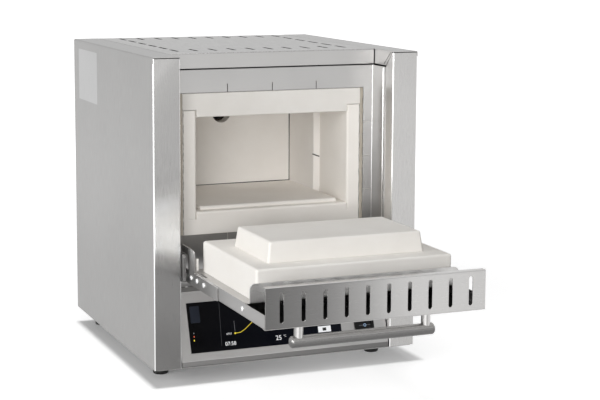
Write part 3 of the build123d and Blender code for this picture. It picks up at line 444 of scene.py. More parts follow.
def heated_tube(name, colour, heat_tint_and_shade):
    """Steel tube, dark near the casing, where heat colouring and painted shade in the bore share one colour, and
    clean at its end.
    """
    material, tree, shader = new_finish(name)
    separate = tree.nodes.new("ShaderNodeSeparateXYZ")
    pattern = object_pattern(tree)
    tree.links.new(pattern, separate.inputs["Vector"])
    along = spread(tree, separate.outputs["Y"], 0, 1, 0.30, 0.41)
    tree.links.new(blend_colours(tree, along, heat_tint_and_shade, colour), shader.inputs["Base Color"])
    lines = noise(tree, object_pattern(tree, (900, 60, 900)), 1.0, 3.0)
    tree.links.new(spread(tree, lines, 0.25, 0.4), shader.inputs["Roughness"])
    shader.inputs["Metallic"].default_value = 1.0
    relief(tree, shader, lines, 0.00002, 0.5, 0.0006)
    return material


# Finishes of the furnace
# Left side panel, a darker copy of the right panel's steel: painted reflection and shade on the pillar front,
# painted shade on tops, lighter lips, painted highlights on upright bends, painted shade on inner faces; the rating
# plate is its own colour
left_casing_steel = sheet_steel("left_casing_steel", steel_grey(0.302), 0.34, (700, 700, 40), touches=(
    (front_faces, left_pillar_painted_reflection, 0.12), (top_faces, steel_grey(0.25), 0), (panel_lips, steel_grey(0.5), 0),
    (upright_bends, BEND_HIGHLIGHT, 0.14), (panel_insides, SHADE, 0),
    (plate_area, (0.46, 0.46, 0.46), -0.1)), brushed=0.35)
# Right side panel: front faces lighter upward, painted highlights on lips and upright bends, painted shade on tops
# and inner faces
right_casing_steel = sheet_steel("right_casing_steel", steel_grey(0.42), 0.34, (700, 700, 40), touches=(
    (front_faces, along("Z", 0.03, 0.53, (0.0, 0.44), (0.42, 0.45), (1.0, 0.462)), 0.1),
    (top_faces, steel_grey(0.30), 0), (panel_lips, lip_painted_highlight, 0), (upright_bends, BEND_HIGHLIGHT, 0.14),
    (panel_insides, SHADE, 0)), brushed=0.15)
casing_steel = sheet_steel("casing_steel", steel_grey(0.33), 0.36, (700, 700, 40))
# Top cover: painted shade on its top, lighter front and bends as painted light, painted shade in the slots
top_steel = sheet_steel("top_steel", steel_grey(0.31), 0.34, (700, 40, 700), touches=(
    (front_faces, steel_grey(0.425), 0), (bends, steel_grey(0.42), 0.1), (slot_walls, SHADE, 0)))
# Front frame: faces to the middle lighter as painted light, painted highlights on upright bends
frame_steel = sheet_steel("frame_steel", steel_grey(0.415), 0.34, (40, 700, 700), cloud=0.14, touches=(
    (facing_middle, steel_grey(0.465), 0), (upright_bends, BEND_HIGHLIGHT, 0.14)))
# Control panel: painted light across its face, painted shade on its lower lip that looks down
panel_steel = sheet_steel("panel_steel", steel_grey(0.38), 0.34, (40, 700, 700), cloud=0.04, touches=(
    (front_faces, along("X", -0.18, 0.18, (0.0, 0.45), (0.33, 0.54), (0.6, 0.48), (0.83, 0.36), (1.0, 0.38)), 0),
    (down_faces, along("X", -0.18, 0.18, (0.0, 0.225), (1.0, 0.155)), 0)))
# Door tray and hinge arms: painted shade on front and outer faces, painted reflection on the tray lip
door_steel = sheet_steel("door_steel", steel_grey(0.555), 0.30, (40, 700, 700), touches=(
    (front_faces, steel_grey(0.3), 0),
    (tray_lip, along("X", -0.175, 0.175, (0.0, 0.9), (0.75, 0.9), (1.0, 0.4)), 0),
    (facing_out, steel_grey(0.34), 0)))
# Door shell: front faces in painted shade that lightens to the right, painted shade on outer faces and in the
# trough
shell_steel = sheet_steel("shell_steel", steel_grey(0.54), 0.30, (40, 700, 700), touches=(
    (front_faces, along("X", -0.175, 0.175, (0.0, 0.12), (0.24, 0.175), (0.35, 0.24), (0.46, 0.31), (0.56, 0.41),
                        (0.67, 0.465), (0.8, 0.47), (1.0, 0.46)), 0),
    (facing_out, steel_grey(0.335), 0), (trough_faces, SHADE, 0)))
block_steel = sheet_steel("block_steel", steel_grey(0.20), 0.3, (60, 700, 700), cloud=0.1)
# Handle bar and posts: painted highlights and painted shade by which way each face looks
handle_steel = sheet_steel("handle_steel", steel_grey(0.3), 0.26, (30, 900, 900), 0.0003, touches=(
    (around_handle, painted_light_by_facing("Z", (0.0, 0.13), (0.5, 0.15), (0.62, 0.22), (0.78, 0.46), (0.95, 0.64)), 0),))
post_steel = sheet_steel("post_steel", steel_grey(0.3), 0.26, (900, 900, 30), 0.0003, touches=(
    (around_handle, painted_light_by_facing("X", (0.0, 0.25), (0.25, 0.6), (0.45, 0.32), (0.7, 0.62), (1.0, 0.2)), 0),))
fastener_steel = sheet_steel("fastener_steel", (0.72, 0.72, 0.72), 0.2, (500, 500, 500), 0.0003, 0.04)
# Near-white bead finish, standing for the highlight on the frame returns' bends: painted highlight
bead_highlight_steel = sheet_steel("bead_highlight_steel", (0.97, 0.97, 0.97), 0.25, (500, 500, 40), 0.0, 0.02)
pin_steel = sheet_steel("pin_steel", steel_grey(0.10), 0.5, (500, 500, 500), 0.0003, 0.04)
liner_steel = sheet_steel("liner_steel", (0.16, 0.155, 0.15), 0.5, (300, 300, 60))
# Exhaust: dark near the casing as heat colouring and painted shade in the bore
exhaust_steel = heated_tube("exhaust_steel", (0.55, 0.55, 0.54), (0.07, 0.055, 0.045))
collar_fibre = fibre_board("collar_fibre", (0.87, 0.845, 0.805), (0.82, 0.79, 0.745))
# Sill, posts, chamber and hearth: lighter copies of the collar's fibre, painted light that lifts their shade
post_fibre_painted_light = fibre_board("post_fibre_painted_light", (0.96, 0.925, 0.875), (0.92, 0.88, 0.825))
door_fibre = fibre_board("door_fibre", (0.91, 0.885, 0.845), (0.87, 0.84, 0.795), edge=0.002)
chamber_fibre_painted_light = fibre_board("chamber_fibre_painted_light", (0.93, 0.90, 0.86), (0.89, 0.855, 0.81))
hearth_fibre_painted_light = fibre_board("hearth_fibre_painted_light", (0.97, 0.935, 0.89), (0.94, 0.90, 0.85))
blanket_fibre = fibre_board("blanket_fibre", (0.64, 0.59, 0.51), (0.44, 0.39, 0.32), 0.0008, 0, 1.2)
# Near-black fibre on the roof insulation: painted shade seen through the top slots
painted_shade_fibre = fibre_board("painted_shade_fibre", (0.05, 0.045, 0.04), (0.03, 0.027, 0.024))
core_fibre = fibre_board("core_fibre", (0.80, 0.78, 0.74), (0.74, 0.72, 0.68))
heating_wire = sheet_steel("heating_wire", (0.20, 0.19, 0.18), 0.6, (300, 300, 300))
sheath_ceramic = moulded_plastic("sheath_ceramic", (0.72, 0.69, 0.64), 0.45)
foot_rubber = moulded_plastic("foot_rubber", (0.004, 0.004, 0.004), 0.6, 0.00012)
black_plastic = moulded_plastic("black_plastic", (0.006, 0.006, 0.0065), 0.42, shine=0.15)
rocker_plastic = moulded_plastic("rocker_plastic", (0.005, 0.005, 0.006), 0.3, 0.00001, shine=0.15)
flap_plastic = moulded_plastic("flap_plastic", (0.007, 0.010, 0.018), 0.4, shine=0.2)
terminal_plastic = moulded_plastic("terminal_plastic", (0.62, 0.60, 0.55), 0.5)
heatsink_metal = sheet_steel("heatsink_metal", (0.62, 0.63, 0.64), 0.4, (300, 30, 300))
# Near-black finish for painted shadow in seams and gaps
painted_gap_shadow = moulded_plastic("painted_gap_shadow", (0.05, 0.045, 0.04), 0.9)
controller_glass = display_glass("controller_glass")
white_mark = lit_ink("white_mark", (0.95, 0.96, 0.98), 0.7)
yellow_mark = lit_ink("yellow_mark", (0.95, 0.75, 0.05))
red_mark = lit_ink("red_mark", (0.75, 0.12, 0.05))
ring_mark = lit_ink("ring_mark", (0.45, 0.62, 0.85))
grey_mark = lit_ink("grey_mark", (0.30, 0.31, 0.33), 0.5)
faint_mark = lit_ink("faint_mark", (0.05, 0.052, 0.058), 0.6)
dark_mark = lit_ink("dark_mark", (0.01, 0.01, 0.012), 0.05)

node_finishes = {
    left_casing_steel: ("side_panel_left",),
    right_casing_steel: ("side_panel_right",),
    casing_steel: ("rear_panel", "base_plate"),
    top_steel: ("top_cover",),
    frame_steel: ("front_frame",),
    panel_steel: ("control_panel",),
    block_steel: ("hinge_block_left", "hinge_block_right"),
    shell_steel: ("door_shell",),
    door_steel: ("door_tray", "hinge_arm_left", "hinge_arm_right"),
    post_steel: ("handle_posts",),
    fastener_steel: ("hinge_pins", "stop_pins", "usb_socket"),
    pin_steel: ("retaining_pins",),
    liner_steel: ("inner_liner", "liner_back"),
    exhaust_steel: ("exhaust_tube", "exhaust_spigot", "exhaust_flange"),
    collar_fibre: ("collar_lintel",),
    post_fibre_painted_light: ("collar_sill", "collar_post_left", "collar_post_right"),
    door_fibre: ("door_insulation", "door_plug", "plug_caps"),
    chamber_fibre_painted_light: ("heating_plate_left", "heating_plate_right", "roof_slab", "rear_wall"),
    hearth_fibre_painted_light: ("hearth_plate",),
    core_fibre: ("side_insulation_left", "side_insulation_right", "floor_insulation", "hearth_bed",
                 "rear_insulation"),
    painted_shade_fibre: ("roof_insulation",),
    heating_wire: ("heating_element_left", "heating_element_right"),
    sheath_ceramic: ("thermocouple",),
    black_plastic: ("controller_housing", "switch_housing", "power_relay", "cable_gland"),
    rocker_plastic: ("switch_rocker",),
    flap_plastic: ("usb_cover",),
    terminal_plastic: ("terminal_block",),
    heatsink_metal: ("heatsink",),
    controller_glass: ("controller_glass",),
}
for finish, names in node_finishes.items():
    for name in names:
        nodes[name].data.materials.clear()
        nodes[name].data.materials.append(finish)


# Mesh helpers

def keep(name, mesh, finish, body, smooth=True, replaces=()):
    """Finished piece: linked, given its finish and put on its body."""
    piece = bpy.data.objects.new(name, mesh)
    scene.collection.objects.link(piece)
    mesh.materials.clear()
    mesh.materials.append(finish)
    if smooth:
        mesh.shade_smooth()
        mesh.set_sharp_from_angle(angle=radians(35))
    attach(piece, body)
    if replaces:
        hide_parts(*replaces)
    return piece


def turned(name, profile, origin, axis, segments=48):
    """Mesh turned about an axis from (distance along, radius) points, closed at both ends."""
    axis = Vector(axis).normalized()
    side = axis.orthogonal().normalized()
    other = axis.cross(side)
    mesh = bpy.data.meshes.new(name)
    build = bmesh.new()
    rings = []
    for along, radius in profile:
        centre = Vector(origin) + axis * along
        if radius <= 0:
            rings.append([build.verts.new(centre)])
            continue
        rings.append([
            build.verts.new(centre + (side * cos(turn) + other * sin(turn)) * radius)
            for turn in (2 * pi * step / segments for step in range(segments))
        ])
    for ring, following in zip(rings, rings[1:]):
        for step in range(segments):
            after = (step + 1) % segments
            corners = [ring[step % len(ring)], ring[after % len(ring)],
                       following[after % len(following)], following[step % len(following)]]
            build.faces.new(list(dict.fromkeys(corners)))
    bmesh.ops.recalc_face_normals(build, faces=build.faces)
    build.to_mesh(mesh)
    build.free()
    return mesh


def panel_point(x, up, out=0.0):
    """Point on the inclined panel's face."""
    return PANEL_FOOT + Vector((x, 0, 0)) + PANEL_UP * up + PANEL_OUT * out


def panel_matrix(x, up, out):
    """Places a flat shape drawn in X and Y on the panel."""
    turn = Matrix((Vector((1, 0, 0)), PANEL_UP, PANEL_OUT)).transposed().to_4x4()
    return Matrix.Translation(panel_point(x, up, out)) @ turn


def flat_print(name, outlines, finish, body="casing", out=GLASS_PROUD, x=0.0, up=0.0):
    """Thin printed shapes on the panel, each outline given in panel coordinates."""
    build = bmesh.new()
    place = panel_matrix(x, up, out)
    for outline in outlines:
        low = [build.verts.new(place @ Vector((*point, 0))) for point in outline]
        high = [build.verts.new(place @ Vector((*point, PRINT_DEPTH))) for point in outline]
        build.faces.new(high)
        build.faces.new(list(reversed(low)))
        count = len(outline)
        for step in range(count):
            after = (step + 1) % count
            build.faces.new((low[step], low[after], high[after], high[step]))
    bmesh.ops.recalc_face_normals(build, faces=build.faces)
    mesh = bpy.data.meshes.new(name)
    build.to_mesh(mesh)
    build.free()
    return keep(name, mesh, finish, body, smooth=False)


def bar(x0, y0, x1, y1):
    """Rectangle outline between two corners."""
    return [(x0, y0), (x1, y0), (x1, y1), (x0, y1)]


def disc(x, y, radius, points=24):
    """Round outline."""
    return [(x + radius * cos(2 * pi * k / points), y + radius * sin(2 * pi * k / points)) for k in range(points)]


def stroke(points, width):
    """Outlines of a thin line through points, one quadrilateral for each run."""
    runs = []
    for (x0, y0), (x1, y1) in zip(points, points[1:]):
        way = Vector((x1 - x0, y1 - y0)).normalized() * width / 2
        side = Vector((-way.y, way.x))
        runs.append([(x0 - way.x - side.x, y0 - way.y - side.y), (x1 + way.x - side.x, y1 + way.y - side.y),
                     (x1 + way.x + side.x, y1 + way.y + side.y), (x0 - way.x + side.x, y0 - way.y + side.y)])
    return runs


def panel_digits(name, words, size, x, up, finish):
    """Generic digits shown on the display."""
    letters = bpy.data.curves.new(name, "FONT")
    letters.body = words
    letters.size = size
    letters.extrude = PRINT_DEPTH / 2
    holder = bpy.data.objects.new(name + "_curve", letters)
    scene.collection.objects.link(holder)
    mesh = bpy.data.meshes.new_from_object(holder)
    bpy.data.objects.remove(holder)
    mesh.transform(panel_matrix(x, up, GLASS_PROUD + PRINT_DEPTH / 2))
    return keep(name, mesh, finish, "casing", smooth=False)


# Handle bar with rounded ends
end = HANDLE_RADIUS
half = HANDLE_LENGTH / 2
round_end = [(end * (1 - cos(step * pi / 16)), end * sin(step * pi / 16)) for step in range(9)]
bar_profile = [(-half + along * 0.55, radius) for along, radius in round_end]
bar_profile += [(half - along * 0.55, radius) for along, radius in reversed(round_end)]
keep("round_handle_bar", turned("round_handle_bar", bar_profile, (0, HANDLE_AXIS_Y, HANDLE_AXIS_Z), (1, 0, 0), 64),
     handle_steel, "door", replaces=("handle_bar",))


# Domed screws, one head repeated at each place

def screw_head():
    """Domed head with a hexagon socket, standing on the plane z = 0."""
    build = bmesh.new()
    dome = [(0, HEAD_RADIUS), (0.35, HEAD_RADIUS * 0.98), (0.7, HEAD_RADIUS * 0.86), (0.92, HEAD_RADIUS * 0.66),
            (1.0, HEAD_RADIUS * 0.5)]
    count = 24
    rings = [[build.verts.new((radius * cos(2 * pi * k / count), radius * sin(2 * pi * k / count),
                               share * HEAD_HEIGHT)) for k in range(count)] for share, radius in dome]
    socket = HEAD_RADIUS * 0.42
    hexagon = []
    for k in range(count):
        turn = 2 * pi * k / count
        face = (turn % (pi / 3)) - pi / 6
        hexagon.append((socket * cos(turn) * cos(pi / 6) / cos(face), socket * sin(turn) * cos(pi / 6) / cos(face)))
    rings.append([build.verts.new((x, y, HEAD_HEIGHT)) for x, y in hexagon])
    rings.append([build.verts.new((x, y, HEAD_HEIGHT * 0.35)) for x, y in hexagon])
    for ring, following in zip(rings, rings[1:]):
        for k in range(count):
            after = (k + 1) % count
            build.faces.new((ring[k], ring[after], following[after], following[k]))
    build.faces.new(rings[-1])
    build.faces.new(list(reversed(rings[0])))
    bmesh.ops.recalc_face_normals(build, faces=build.faces)
    mesh = bpy.data.meshes.new("screw_head")
    build.to_mesh(mesh)
    build.free()
    return mesh


def screw_tree():
    """Geometry Nodes: a head at each point, facing along the point's way out."""
    tree = bpy.data.node_groups.new("screws_at_points", "GeometryNodeTree")
    face = tree.interface
    face.new_socket("Geometry", in_out="INPUT", socket_type="NodeSocketGeometry")
    face.new_socket("Head", in_out="INPUT", socket_type="NodeSocketObject")
    face.new_socket("Head Size", in_out="INPUT", socket_type="NodeSocketFloat").default_value = 1.0
    face.new_socket("Finish", in_out="INPUT", socket_type="NodeSocketMaterial")
    face.new_socket("Geometry", in_out="OUTPUT", socket_type="NodeSocketGeometry")
    inward, outward = tree.nodes.new("NodeGroupInput"), tree.nodes.new("NodeGroupOutput")
    head = tree.nodes.new("GeometryNodeObjectInfo")
    way = tree.nodes.new("GeometryNodeInputNamedAttribute")
    way.data_type = "FLOAT_VECTOR"
    way.inputs["Name"].default_value = "way_out"
    turn = tree.nodes.new("FunctionNodeAlignRotationToVector")
    turn.axis = "Z"
    place = tree.nodes.new("GeometryNodeInstanceOnPoints")
    solid = tree.nodes.new("GeometryNodeRealizeInstances")
    paint = tree.nodes.new("GeometryNodeSetMaterial")
    link = tree.links.new
    link(inward.outputs["Head"], head.inputs["Object"])
    link(inward.outputs["Geometry"], place.inputs["Points"])
    link(head.outputs["Geometry"], place.inputs["Instance"])
    link(way.outputs["Attribute"], turn.inputs["Vector"])
    link(turn.outputs["Rotation"], place.inputs["Rotation"])
    link(inward.outputs["Head Size"], place.inputs["Scale"])
    link(place.outputs["Instances"], solid.inputs["Geometry"])
    link(solid.outputs["Geometry"], paint.inputs["Geometry"])
    link(inward.outputs["Finish"], paint.inputs["Material"])
    link(paint.outputs["Geometry"], outward.inputs["Geometry"])
    return tree


screw_mesh = bpy.data.objects.new("screw_head", screw_head())
scene.collection.objects.link(screw_mesh)
screws_at_points = screw_tree()


def screw_row(name, places, body, replaces=(), size=1.0):
    """Domed screws at (point, way out) places, as one mesh."""
    mesh = bpy.data.meshes.new(name)
    mesh.from_pydata([point for point, _ in places], [], [])
    ways = mesh.attributes.new("way_out", "FLOAT_VECTOR", "POINT")
    for entry, (_, way) in zip(ways.data, places):
        entry.vector = way
    carrier = bpy.data.objects.new(name + "_points", mesh)
    scene.collection.objects.link(carrier)
    modifier = carrier.modifiers.new("screws", "NODES")
    modifier.node_group = screws_at_points
    values = {"Head": screw_mesh, "Head Size": size, "Finish": fastener_steel}
    for item in screws_at_points.interface.items_tree:
        if item.in_out == "INPUT" and item.name in values:
            modifier[item.identifier] = values[item.name]
    bpy.context.view_layer.update()
    made = bpy.data.meshes.new_from_object(carrier.evaluated_get(bpy.context.evaluated_depsgraph_get()))
    carrier.modifiers.remove(modifier)
    bpy.data.objects.remove(carrier)
    return keep(name, made, fastener_steel, body, replaces=replaces)


rail_places = []
for side in (-1, 1):
    for screw_y in (-0.1105, -0.1375, -0.1695, -0.334):
        seat = 0.1765 if screw_y > -0.2305 else 0.1745
        rail_places.append(((side * seat, screw_y, 0.1825), (side, 0, 0)))
screw_row("domed_rail_screws", rail_places, "door", ("rail_screws",))
rear_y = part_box("rear_screws")[0].y
rear_low, rear_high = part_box("rear_screws")
rear_x = rear_high.x - HEAD_RADIUS
rear_rows = (rear_low.z + HEAD_RADIUS, (rear_low.z + rear_high.z) / 2, rear_high.z - HEAD_RADIUS)
screw_row("domed_rear_screws", [((side * rear_x, rear_y, row), (0, 1, 0)) for side in (-1, 1) for row in rear_rows],
          "casing", ("rear_screws",))

# Rubber feet, turned, with a slightly bulging wall
foot_low, foot_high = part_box("feet")
foot_x = foot_high.x - FOOT_RADIUS
foot_height = foot_high.z - foot_low.z
foot_profile = [(0, 0), (0, FOOT_RADIUS * 0.86), (0.0012, FOOT_RADIUS * 0.93), (0.006, FOOT_RADIUS * 0.97),
                (foot_height - 0.0008, FOOT_RADIUS), (foot_height, FOOT_RADIUS * 0.95), (foot_height, 0)]
feet_mesh = bmesh.new()
for side in (-1, 1):
    for foot_y in (foot_low.y + FOOT_RADIUS, foot_high.y - FOOT_RADIUS):
        feet_mesh.from_mesh(turned("foot", foot_profile, (side * foot_x, foot_y, foot_low.z), (0, 0, 1), 40))
rubber_feet = bpy.data.meshes.new("rubber_feet")
feet_mesh.to_mesh(rubber_feet)
feet_mesh.free()
keep("rubber_feet", rubber_feet, foot_rubber, "casing", replaces=("feet",))

# What the display shows
def printed_ring(x, y, radius, width, points=20):
    """Outlines of a thin ring."""
    turns = [2 * pi * step / points for step in range(points + 1)]
    return stroke([(x + radius * cos(turn), y + radius * sin(turn)) for turn in turns], width)


flat_print("display_divider", stroke([(-0.1137, 0.0205), (-0.1103, 0.0905)], 0.0005), faint_mark)
flat_print("status_white", [bar(-0.1594, 0.0437, -0.1580, 0.0456)], grey_mark)
flat_print("status_red", [bar(-0.1596, 0.0378, -0.1580, 0.0404)], red_mark)
flat_print("status_yellow", [bar(-0.1600, 0.0316, -0.1584, 0.0344)], yellow_mark)
flat_print("ramp_start", [disc(-0.0882, 0.0386, 0.0015)], yellow_mark)
flat_print("ramp_line", stroke([(-0.0882, 0.0386), (-0.0790, 0.0392), (-0.0700, 0.0440), (-0.0570, 0.0540),
                                (-0.0420, 0.0645), (-0.0240, 0.0705)], 0.0008), yellow_mark)
flat_print("ramp_marker", [bar(-0.08835, 0.0415, -0.08795, 0.0590)], grey_mark)
panel_digits("start_digits", "07:57", 0.0042, -0.1035, 0.0372, white_mark)
panel_digits("clock_digits", "07:58", 0.0086, -0.1075, 0.0198, white_mark)
panel_digits("temperature_digits", "25", 0.0108, -0.0190, 0.0207, white_mark)
panel_digits("degree_mark", "°C", 0.0045, -0.0050, 0.0250, white_mark)
flat_print("menu_box", [bar(0.0580, 0.0262, 0.0810, 0.0362)], white_mark)
flat_print("menu_box_mark", [bar(0.0660, 0.0285, 0.0725, 0.0335)], dark_mark, out=GLASS_PROUD + 2 * PRINT_DEPTH)
flat_print("rocker_ring", printed_ring(0.1437, 0.0312, 0.0021, 0.0007), ring_mark, "rocker",
           out=0.00063)
flat_print("rocker_line", [bar(0.1330, 0.0311, 0.1412, 0.0315), bar(0.1462, 0.0311, 0.1540, 0.0315)], grey_mark,
           "rocker", out=0.00063)

# Painted shadow in the seams where the chamber's rear wall meets the hearth and the right plate
chamber_low, chamber_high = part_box("rear_wall")
hearth_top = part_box("hearth_plate")[1].z
plate_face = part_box("heating_plate_right")[0].x


def seam_shadow_strip(name, low, high):
    """Slim dark strip of painted shadow that fills a corner seam, its thickness uneven along it."""
    build = bmesh.new()
    bmesh.ops.create_cube(build, size=1.0)
    bmesh.ops.subdivide_edges(build, edges=build.edges, cuts=6, use_grid_fill=True)
    middle_point, size = (Vector(low) + Vector(high)) / 2, Vector(high) - Vector(low)
    longest = max(range(3), key=lambda axis: size[axis])
    for vertex in build.verts:
        share = vertex.co[longest]
        wear = 1 + 0.18 * sin(share * 41) + 0.1 * sin(share * 97)
        vertex.co = middle_point + Vector([size[axis] * vertex.co[axis] * (1 if axis == longest else wear)
                                           for axis in range(3)])
    mesh = bpy.data.meshes.new(name)
    build.to_mesh(mesh)
    build.free()
    keep(name, mesh, painted_gap_shadow, "casing")


SEAM = 0.0011
wall_y = chamber_low.y
seam_shadow_strip("rear_seam_low", (-plate_face, wall_y - SEAM, hearth_top - SEAM), (plate_face, wall_y + SEAM, hearth_top + SEAM))
seam_shadow_strip("rear_seam_right", (plate_face - SEAM, wall_y - SEAM, hearth_top), (plate_face + SEAM, wall_y + SEAM, chamber_high.z))

def ribbon(name, path, across, out, finish):
    """Slim strip along (centre, half width) points, as thick as the way out is long."""
    build = bmesh.new()
    across, out = Vector(across).normalized(), Vector(out)
    rings = []
    for centre, half_width in path:
        corners = (across * -half_width, across * half_width, across * half_width + out, across * -half_width + out)
        rings.append([build.verts.new(Vector(centre) + corner) for corner in corners])
    for ring, following in zip(rings, rings[1:]):
        for step in range(4):
            after = (step + 1) % 4
            build.faces.new((ring[step], ring[after], following[after], following[step]))
    build.faces.new(rings[0])
    build.faces.new(list(reversed(rings[-1])))
    bmesh.ops.recalc_face_normals(build, faces=build.faces)
    mesh = bpy.data.meshes.new(name)
    build.to_mesh(mesh)
    build.free()
    keep(name, mesh, finish, "casing")


def wave(height, shift=0.0):
    """Uneven run of a torn edge, from -1 to 1."""
    return 0.5 * sin(height * 210 + shift) + 0.3 * sin(height * 520 + shift * 2) + 0.2 * sin(height * 1130 + shift)


# Painted shadow lines in the seams where the gussets meet the side panels' lips
lip_x = 0.1845
for side, word in ((-1, "left"), (1, "right")):
    seam_path = [((side * lip_x, -0.0503, 0.5063), 0.0005), ((side * lip_x, -0.0764, 0.5280), 0.0004)]
    ribbon("gusset_seam_" + word, seam_path, (0, 0.648, 0.762), (-side * 0.0002, 0, 0), painted_gap_shadow)


# Rolled hems on the front frame's returns, their near-white finish a painted highlight for the bends
hem_low, hem_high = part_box("front_frame")
HEM_RADIUS = 0.0008
for side, word in ((-1, "left"), (1, "right")):
    hem_length = hem_high.z - hem_low.z - 0.004
    hem_profile = [(0, 0), (0, HEM_RADIUS * 0.7), (HEM_RADIUS * 0.5, HEM_RADIUS), (hem_length - HEM_RADIUS * 0.5, HEM_RADIUS),
                   (hem_length, HEM_RADIUS * 0.7), (hem_length, 0)]
    hem = turned("frame_hem_" + word, hem_profile, (side * (hem_high.x - 0.0012), -0.0508, hem_low.z + 0.002), (0, 0, 1), 20)
    keep("frame_hem_" + word, hem, bead_highlight_steel, "casing")


# Torn edges of the blanket beside the collar, and painted shadow in the uneven gaps next to them

def torn_blanket(name, side, node, shift):
    """Blanket strip with a torn outer edge and a lumpy front."""
    low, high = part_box(node)
    inner, outer = min(abs(low.x), abs(high.x)), max(abs(low.x), abs(high.x))
    rows = 90
    build = bmesh.new()
    rings = []
    for row in range(rows + 1):
        height = low.z + (high.z - low.z) * row / rows
        edge_x = outer - 0.0012 + 0.0012 * wave(height, shift)
        section = [(inner, high.y), (inner, low.y + 0.0006)]
        for step in range(1, 5):
            share = step / 5
            lump = 0.0005 + 0.0005 * wave(height * 1.7 + share * 0.03, shift + step)
            section.append((inner + (edge_x - inner) * share, low.y + lump))
        section += [(edge_x, low.y + 0.0014), (edge_x, high.y)]
        rings.append([build.verts.new((side * x, y, height)) for x, y in section])
    for ring, following in zip(rings, rings[1:]):
        count = len(ring)
        for step in range(count):
            after = (step + 1) % count
            build.faces.new((ring[step], ring[after], following[after], following[step]))
    build.faces.new(rings[0])
    build.faces.new(list(reversed(rings[-1])))
    bmesh.ops.recalc_face_normals(build, faces=build.faces)
    mesh = bpy.data.meshes.new(name)
    build.to_mesh(mesh)
    build.free()
    keep(name, mesh, blanket_fibre, "casing", replaces=(node,))


collar_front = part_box("collar_post_right")[0].y
post_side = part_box("collar_post_right")[1].x
gap_low, gap_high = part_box("collar_sill")[0].z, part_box("collar_post_right")[1].z
for side, word, shift in ((-1, "left", 1.3), (1, "right", 0.0)):
    torn_blanket("torn_blanket_" + word, side, "blanket_strip_" + word, shift)
    gap_path = []
    for row in range(71):
        height = gap_low + (gap_high - gap_low) * row / 70
        gap_path.append(((side * (post_side - 0.0009 + 0.0004 * wave(height, shift)), collar_front, height),
                         0.00035 + 0.00018 * wave(height * 1.3, shift + 2)))
    ribbon("blanket_gap_" + word, gap_path, (1, 0, 0), (0, -0.0001, 0), painted_gap_shadow)

bpy.data.objects.remove(screw_mesh)

# Pale floor and backdrop, with a painted shadow beneath the casing
floor_finish = bpy.data.materials.new("pale_floor")
floor_finish.use_nodes = True
floor_tree = floor_finish.node_tree
floor_shader = floor_tree.nodes["Principled BSDF"]
floor_shader.inputs["Base Color"].default_value = (0.86, 0.86, 0.86, 1)
floor_shader.inputs["Roughness"].default_value = 0.9
rays = floor_tree.nodes.new("ShaderNodeLightPath")
seen = math_step(floor_tree, "MAXIMUM", rays.outputs["Is Camera Ray"], rays.outputs["Is Glossy Ray"])
seen = math_step(floor_tree, "MAXIMUM", seen, rays.outputs["Is Transmission Ray"])
floor_parts = floor_tree.nodes.new("ShaderNodeSeparateXYZ")
floor_tree.links.new(object_pattern(floor_tree), floor_parts.inputs["Vector"])
# Painted shadow: the lift drops inside the casing's footprint, softened over 12 mm past its edge, darker to the
# left
past = []
for axis, (low, high) in (("X", PAINTED_SHADOW_X), ("Y", PAINTED_SHADOW_Y)):
    away = math_step(floor_tree, "SUBTRACT", floor_parts.outputs[axis], (low + high) / 2)
    away = math_step(floor_tree, "SUBTRACT", math_step(floor_tree, "ABSOLUTE", away), (high - low) / 2)
    away = math_step(floor_tree, "MAXIMUM", away, 0.0)
    past.append(math_step(floor_tree, "MULTIPLY", away, away))
past_casing = math_step(floor_tree, "SQRT", math_step(floor_tree, "ADD", *past))
under = spread(floor_tree, floor_parts.outputs["X"], *PAINTED_SHADOW_LIFT, -0.15, 0.08)
clear = spread(floor_tree, past_casing, 0, 1, 0.0, 0.012)
brighter = math_step(floor_tree, "ADD", math_step(floor_tree, "MULTIPLY", clear, FLOOR_LIFT),
                     math_step(floor_tree, "MULTIPLY", math_step(floor_tree, "SUBTRACT", 1.0, clear), under))
farther = spread(floor_tree, past_casing, 0.0, 1.0 - FLOOR_LIFT, 0.4, 1.8)
brighter = math_step(floor_tree, "ADD", brighter, farther)
floor_shader.inputs["Emission Color"].default_value = (1, 1, 1, 1)
floor_tree.links.new(math_step(floor_tree, "MULTIPLY", seen, brighter), floor_shader.inputs["Emission Strength"])
floor_mesh = bpy.data.meshes.new("studio_floor")
floor_mesh.from_pydata([(-30, -30, 0), (30, -30, 0), (30, 30, 0), (-30, 30, 0)], [], [(0, 1, 2, 3)])
floor_mesh.materials.append(floor_finish)
studio_floor = bpy.data.objects.new("studio_floor", floor_mesh)
scene.collection.objects.link(studio_floor)

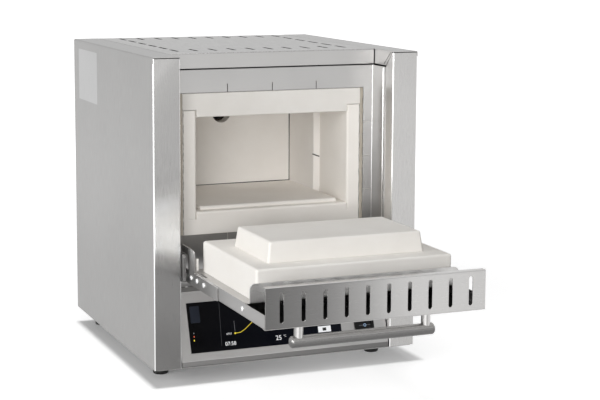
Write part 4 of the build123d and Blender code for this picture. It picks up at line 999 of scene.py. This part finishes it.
world = bpy.data.worlds.new("studio")
scene.world = world
world.use_nodes = True
sky = world.node_tree
background = sky.nodes["Background"]
background.inputs["Color"].default_value = (1, 1, 1, 1)
sky_rays = sky.nodes.new("ShaderNodeLightPath")
direct = sky.nodes.new("ShaderNodeMath")
direct.operation = "MAXIMUM"
sky.links.new(sky_rays.outputs["Is Camera Ray"], direct.inputs[0])
sky.links.new(sky_rays.outputs["Is Glossy Ray"], direct.inputs[1])
direct_all = sky.nodes.new("ShaderNodeMath")
direct_all.operation = "MAXIMUM"
sky.links.new(direct.outputs["Value"], direct_all.inputs[0])
sky.links.new(sky_rays.outputs["Is Transmission Ray"], direct_all.inputs[1])
level = sky.nodes.new("ShaderNodeMapRange")
level.inputs["To Min"].default_value = AMBIENT
level.inputs["To Max"].default_value = 1.0
sky.links.new(direct_all.outputs["Value"], level.inputs["Value"])
sky.links.new(level.outputs["Result"], background.inputs["Strength"])


def softbox(name, place, aim, width, height, power):
    """Large soft lamp aimed at a point."""
    lamp = bpy.data.lights.new(name, "AREA")
    lamp.shape = "RECTANGLE"
    lamp.size, lamp.size_y = width, height
    lamp.energy = power
    holder = bpy.data.objects.new(name, lamp)
    scene.collection.objects.link(holder)
    holder.location = place
    holder.rotation_mode = "QUATERNION"
    holder.rotation_quaternion = (Vector(aim) - Vector(place)).to_track_quat("-Z", "Y")


middle = (0, 0, 0.3)
softboxes = {
    "front_softbox": ((-1.3, -3.1, 1.7), middle, 1.6, 1.2, 26.0),
    "low_softbox": ((-1.6, -3.2, 0.6), middle, 1.4, 0.8, 37.0),
    "left_softbox": ((-3.2, -0.9, 1.1), middle, 1.6, 1.6, 43.0),
    "top_softbox": ((0.0, 0.1, 3.0), middle, 0.9, 0.9, 19.0),
}
for name, settings in softboxes.items():
    softbox(name, *settings)

# Camera at the photograph's viewing angle
TURN, PITCH, ROLL = 0.39518, -0.13443, 0.00476
forward = Vector((sin(TURN) * cos(PITCH), cos(TURN) * cos(PITCH), sin(PITCH)))
level_right = Vector((cos(TURN), -sin(TURN), 0))
level_up = level_right.cross(forward)
right = level_right * cos(ROLL) + level_up * sin(ROLL)
upward = level_up * cos(ROLL) - level_right * sin(ROLL)
camera_data = bpy.data.cameras.new("photo_camera")
camera = bpy.data.objects.new("photo_camera", camera_data)
scene.collection.objects.link(camera)
camera.matrix_world = (Matrix.Translation((-0.956393, -2.422259, 0.715917))
                       @ Matrix((right, upward, -forward)).transposed().to_4x4())
camera_data.sensor_width = 36
camera_data.lens = 94.45
camera_data.shift_y = -50 / 600
scene.camera = camera
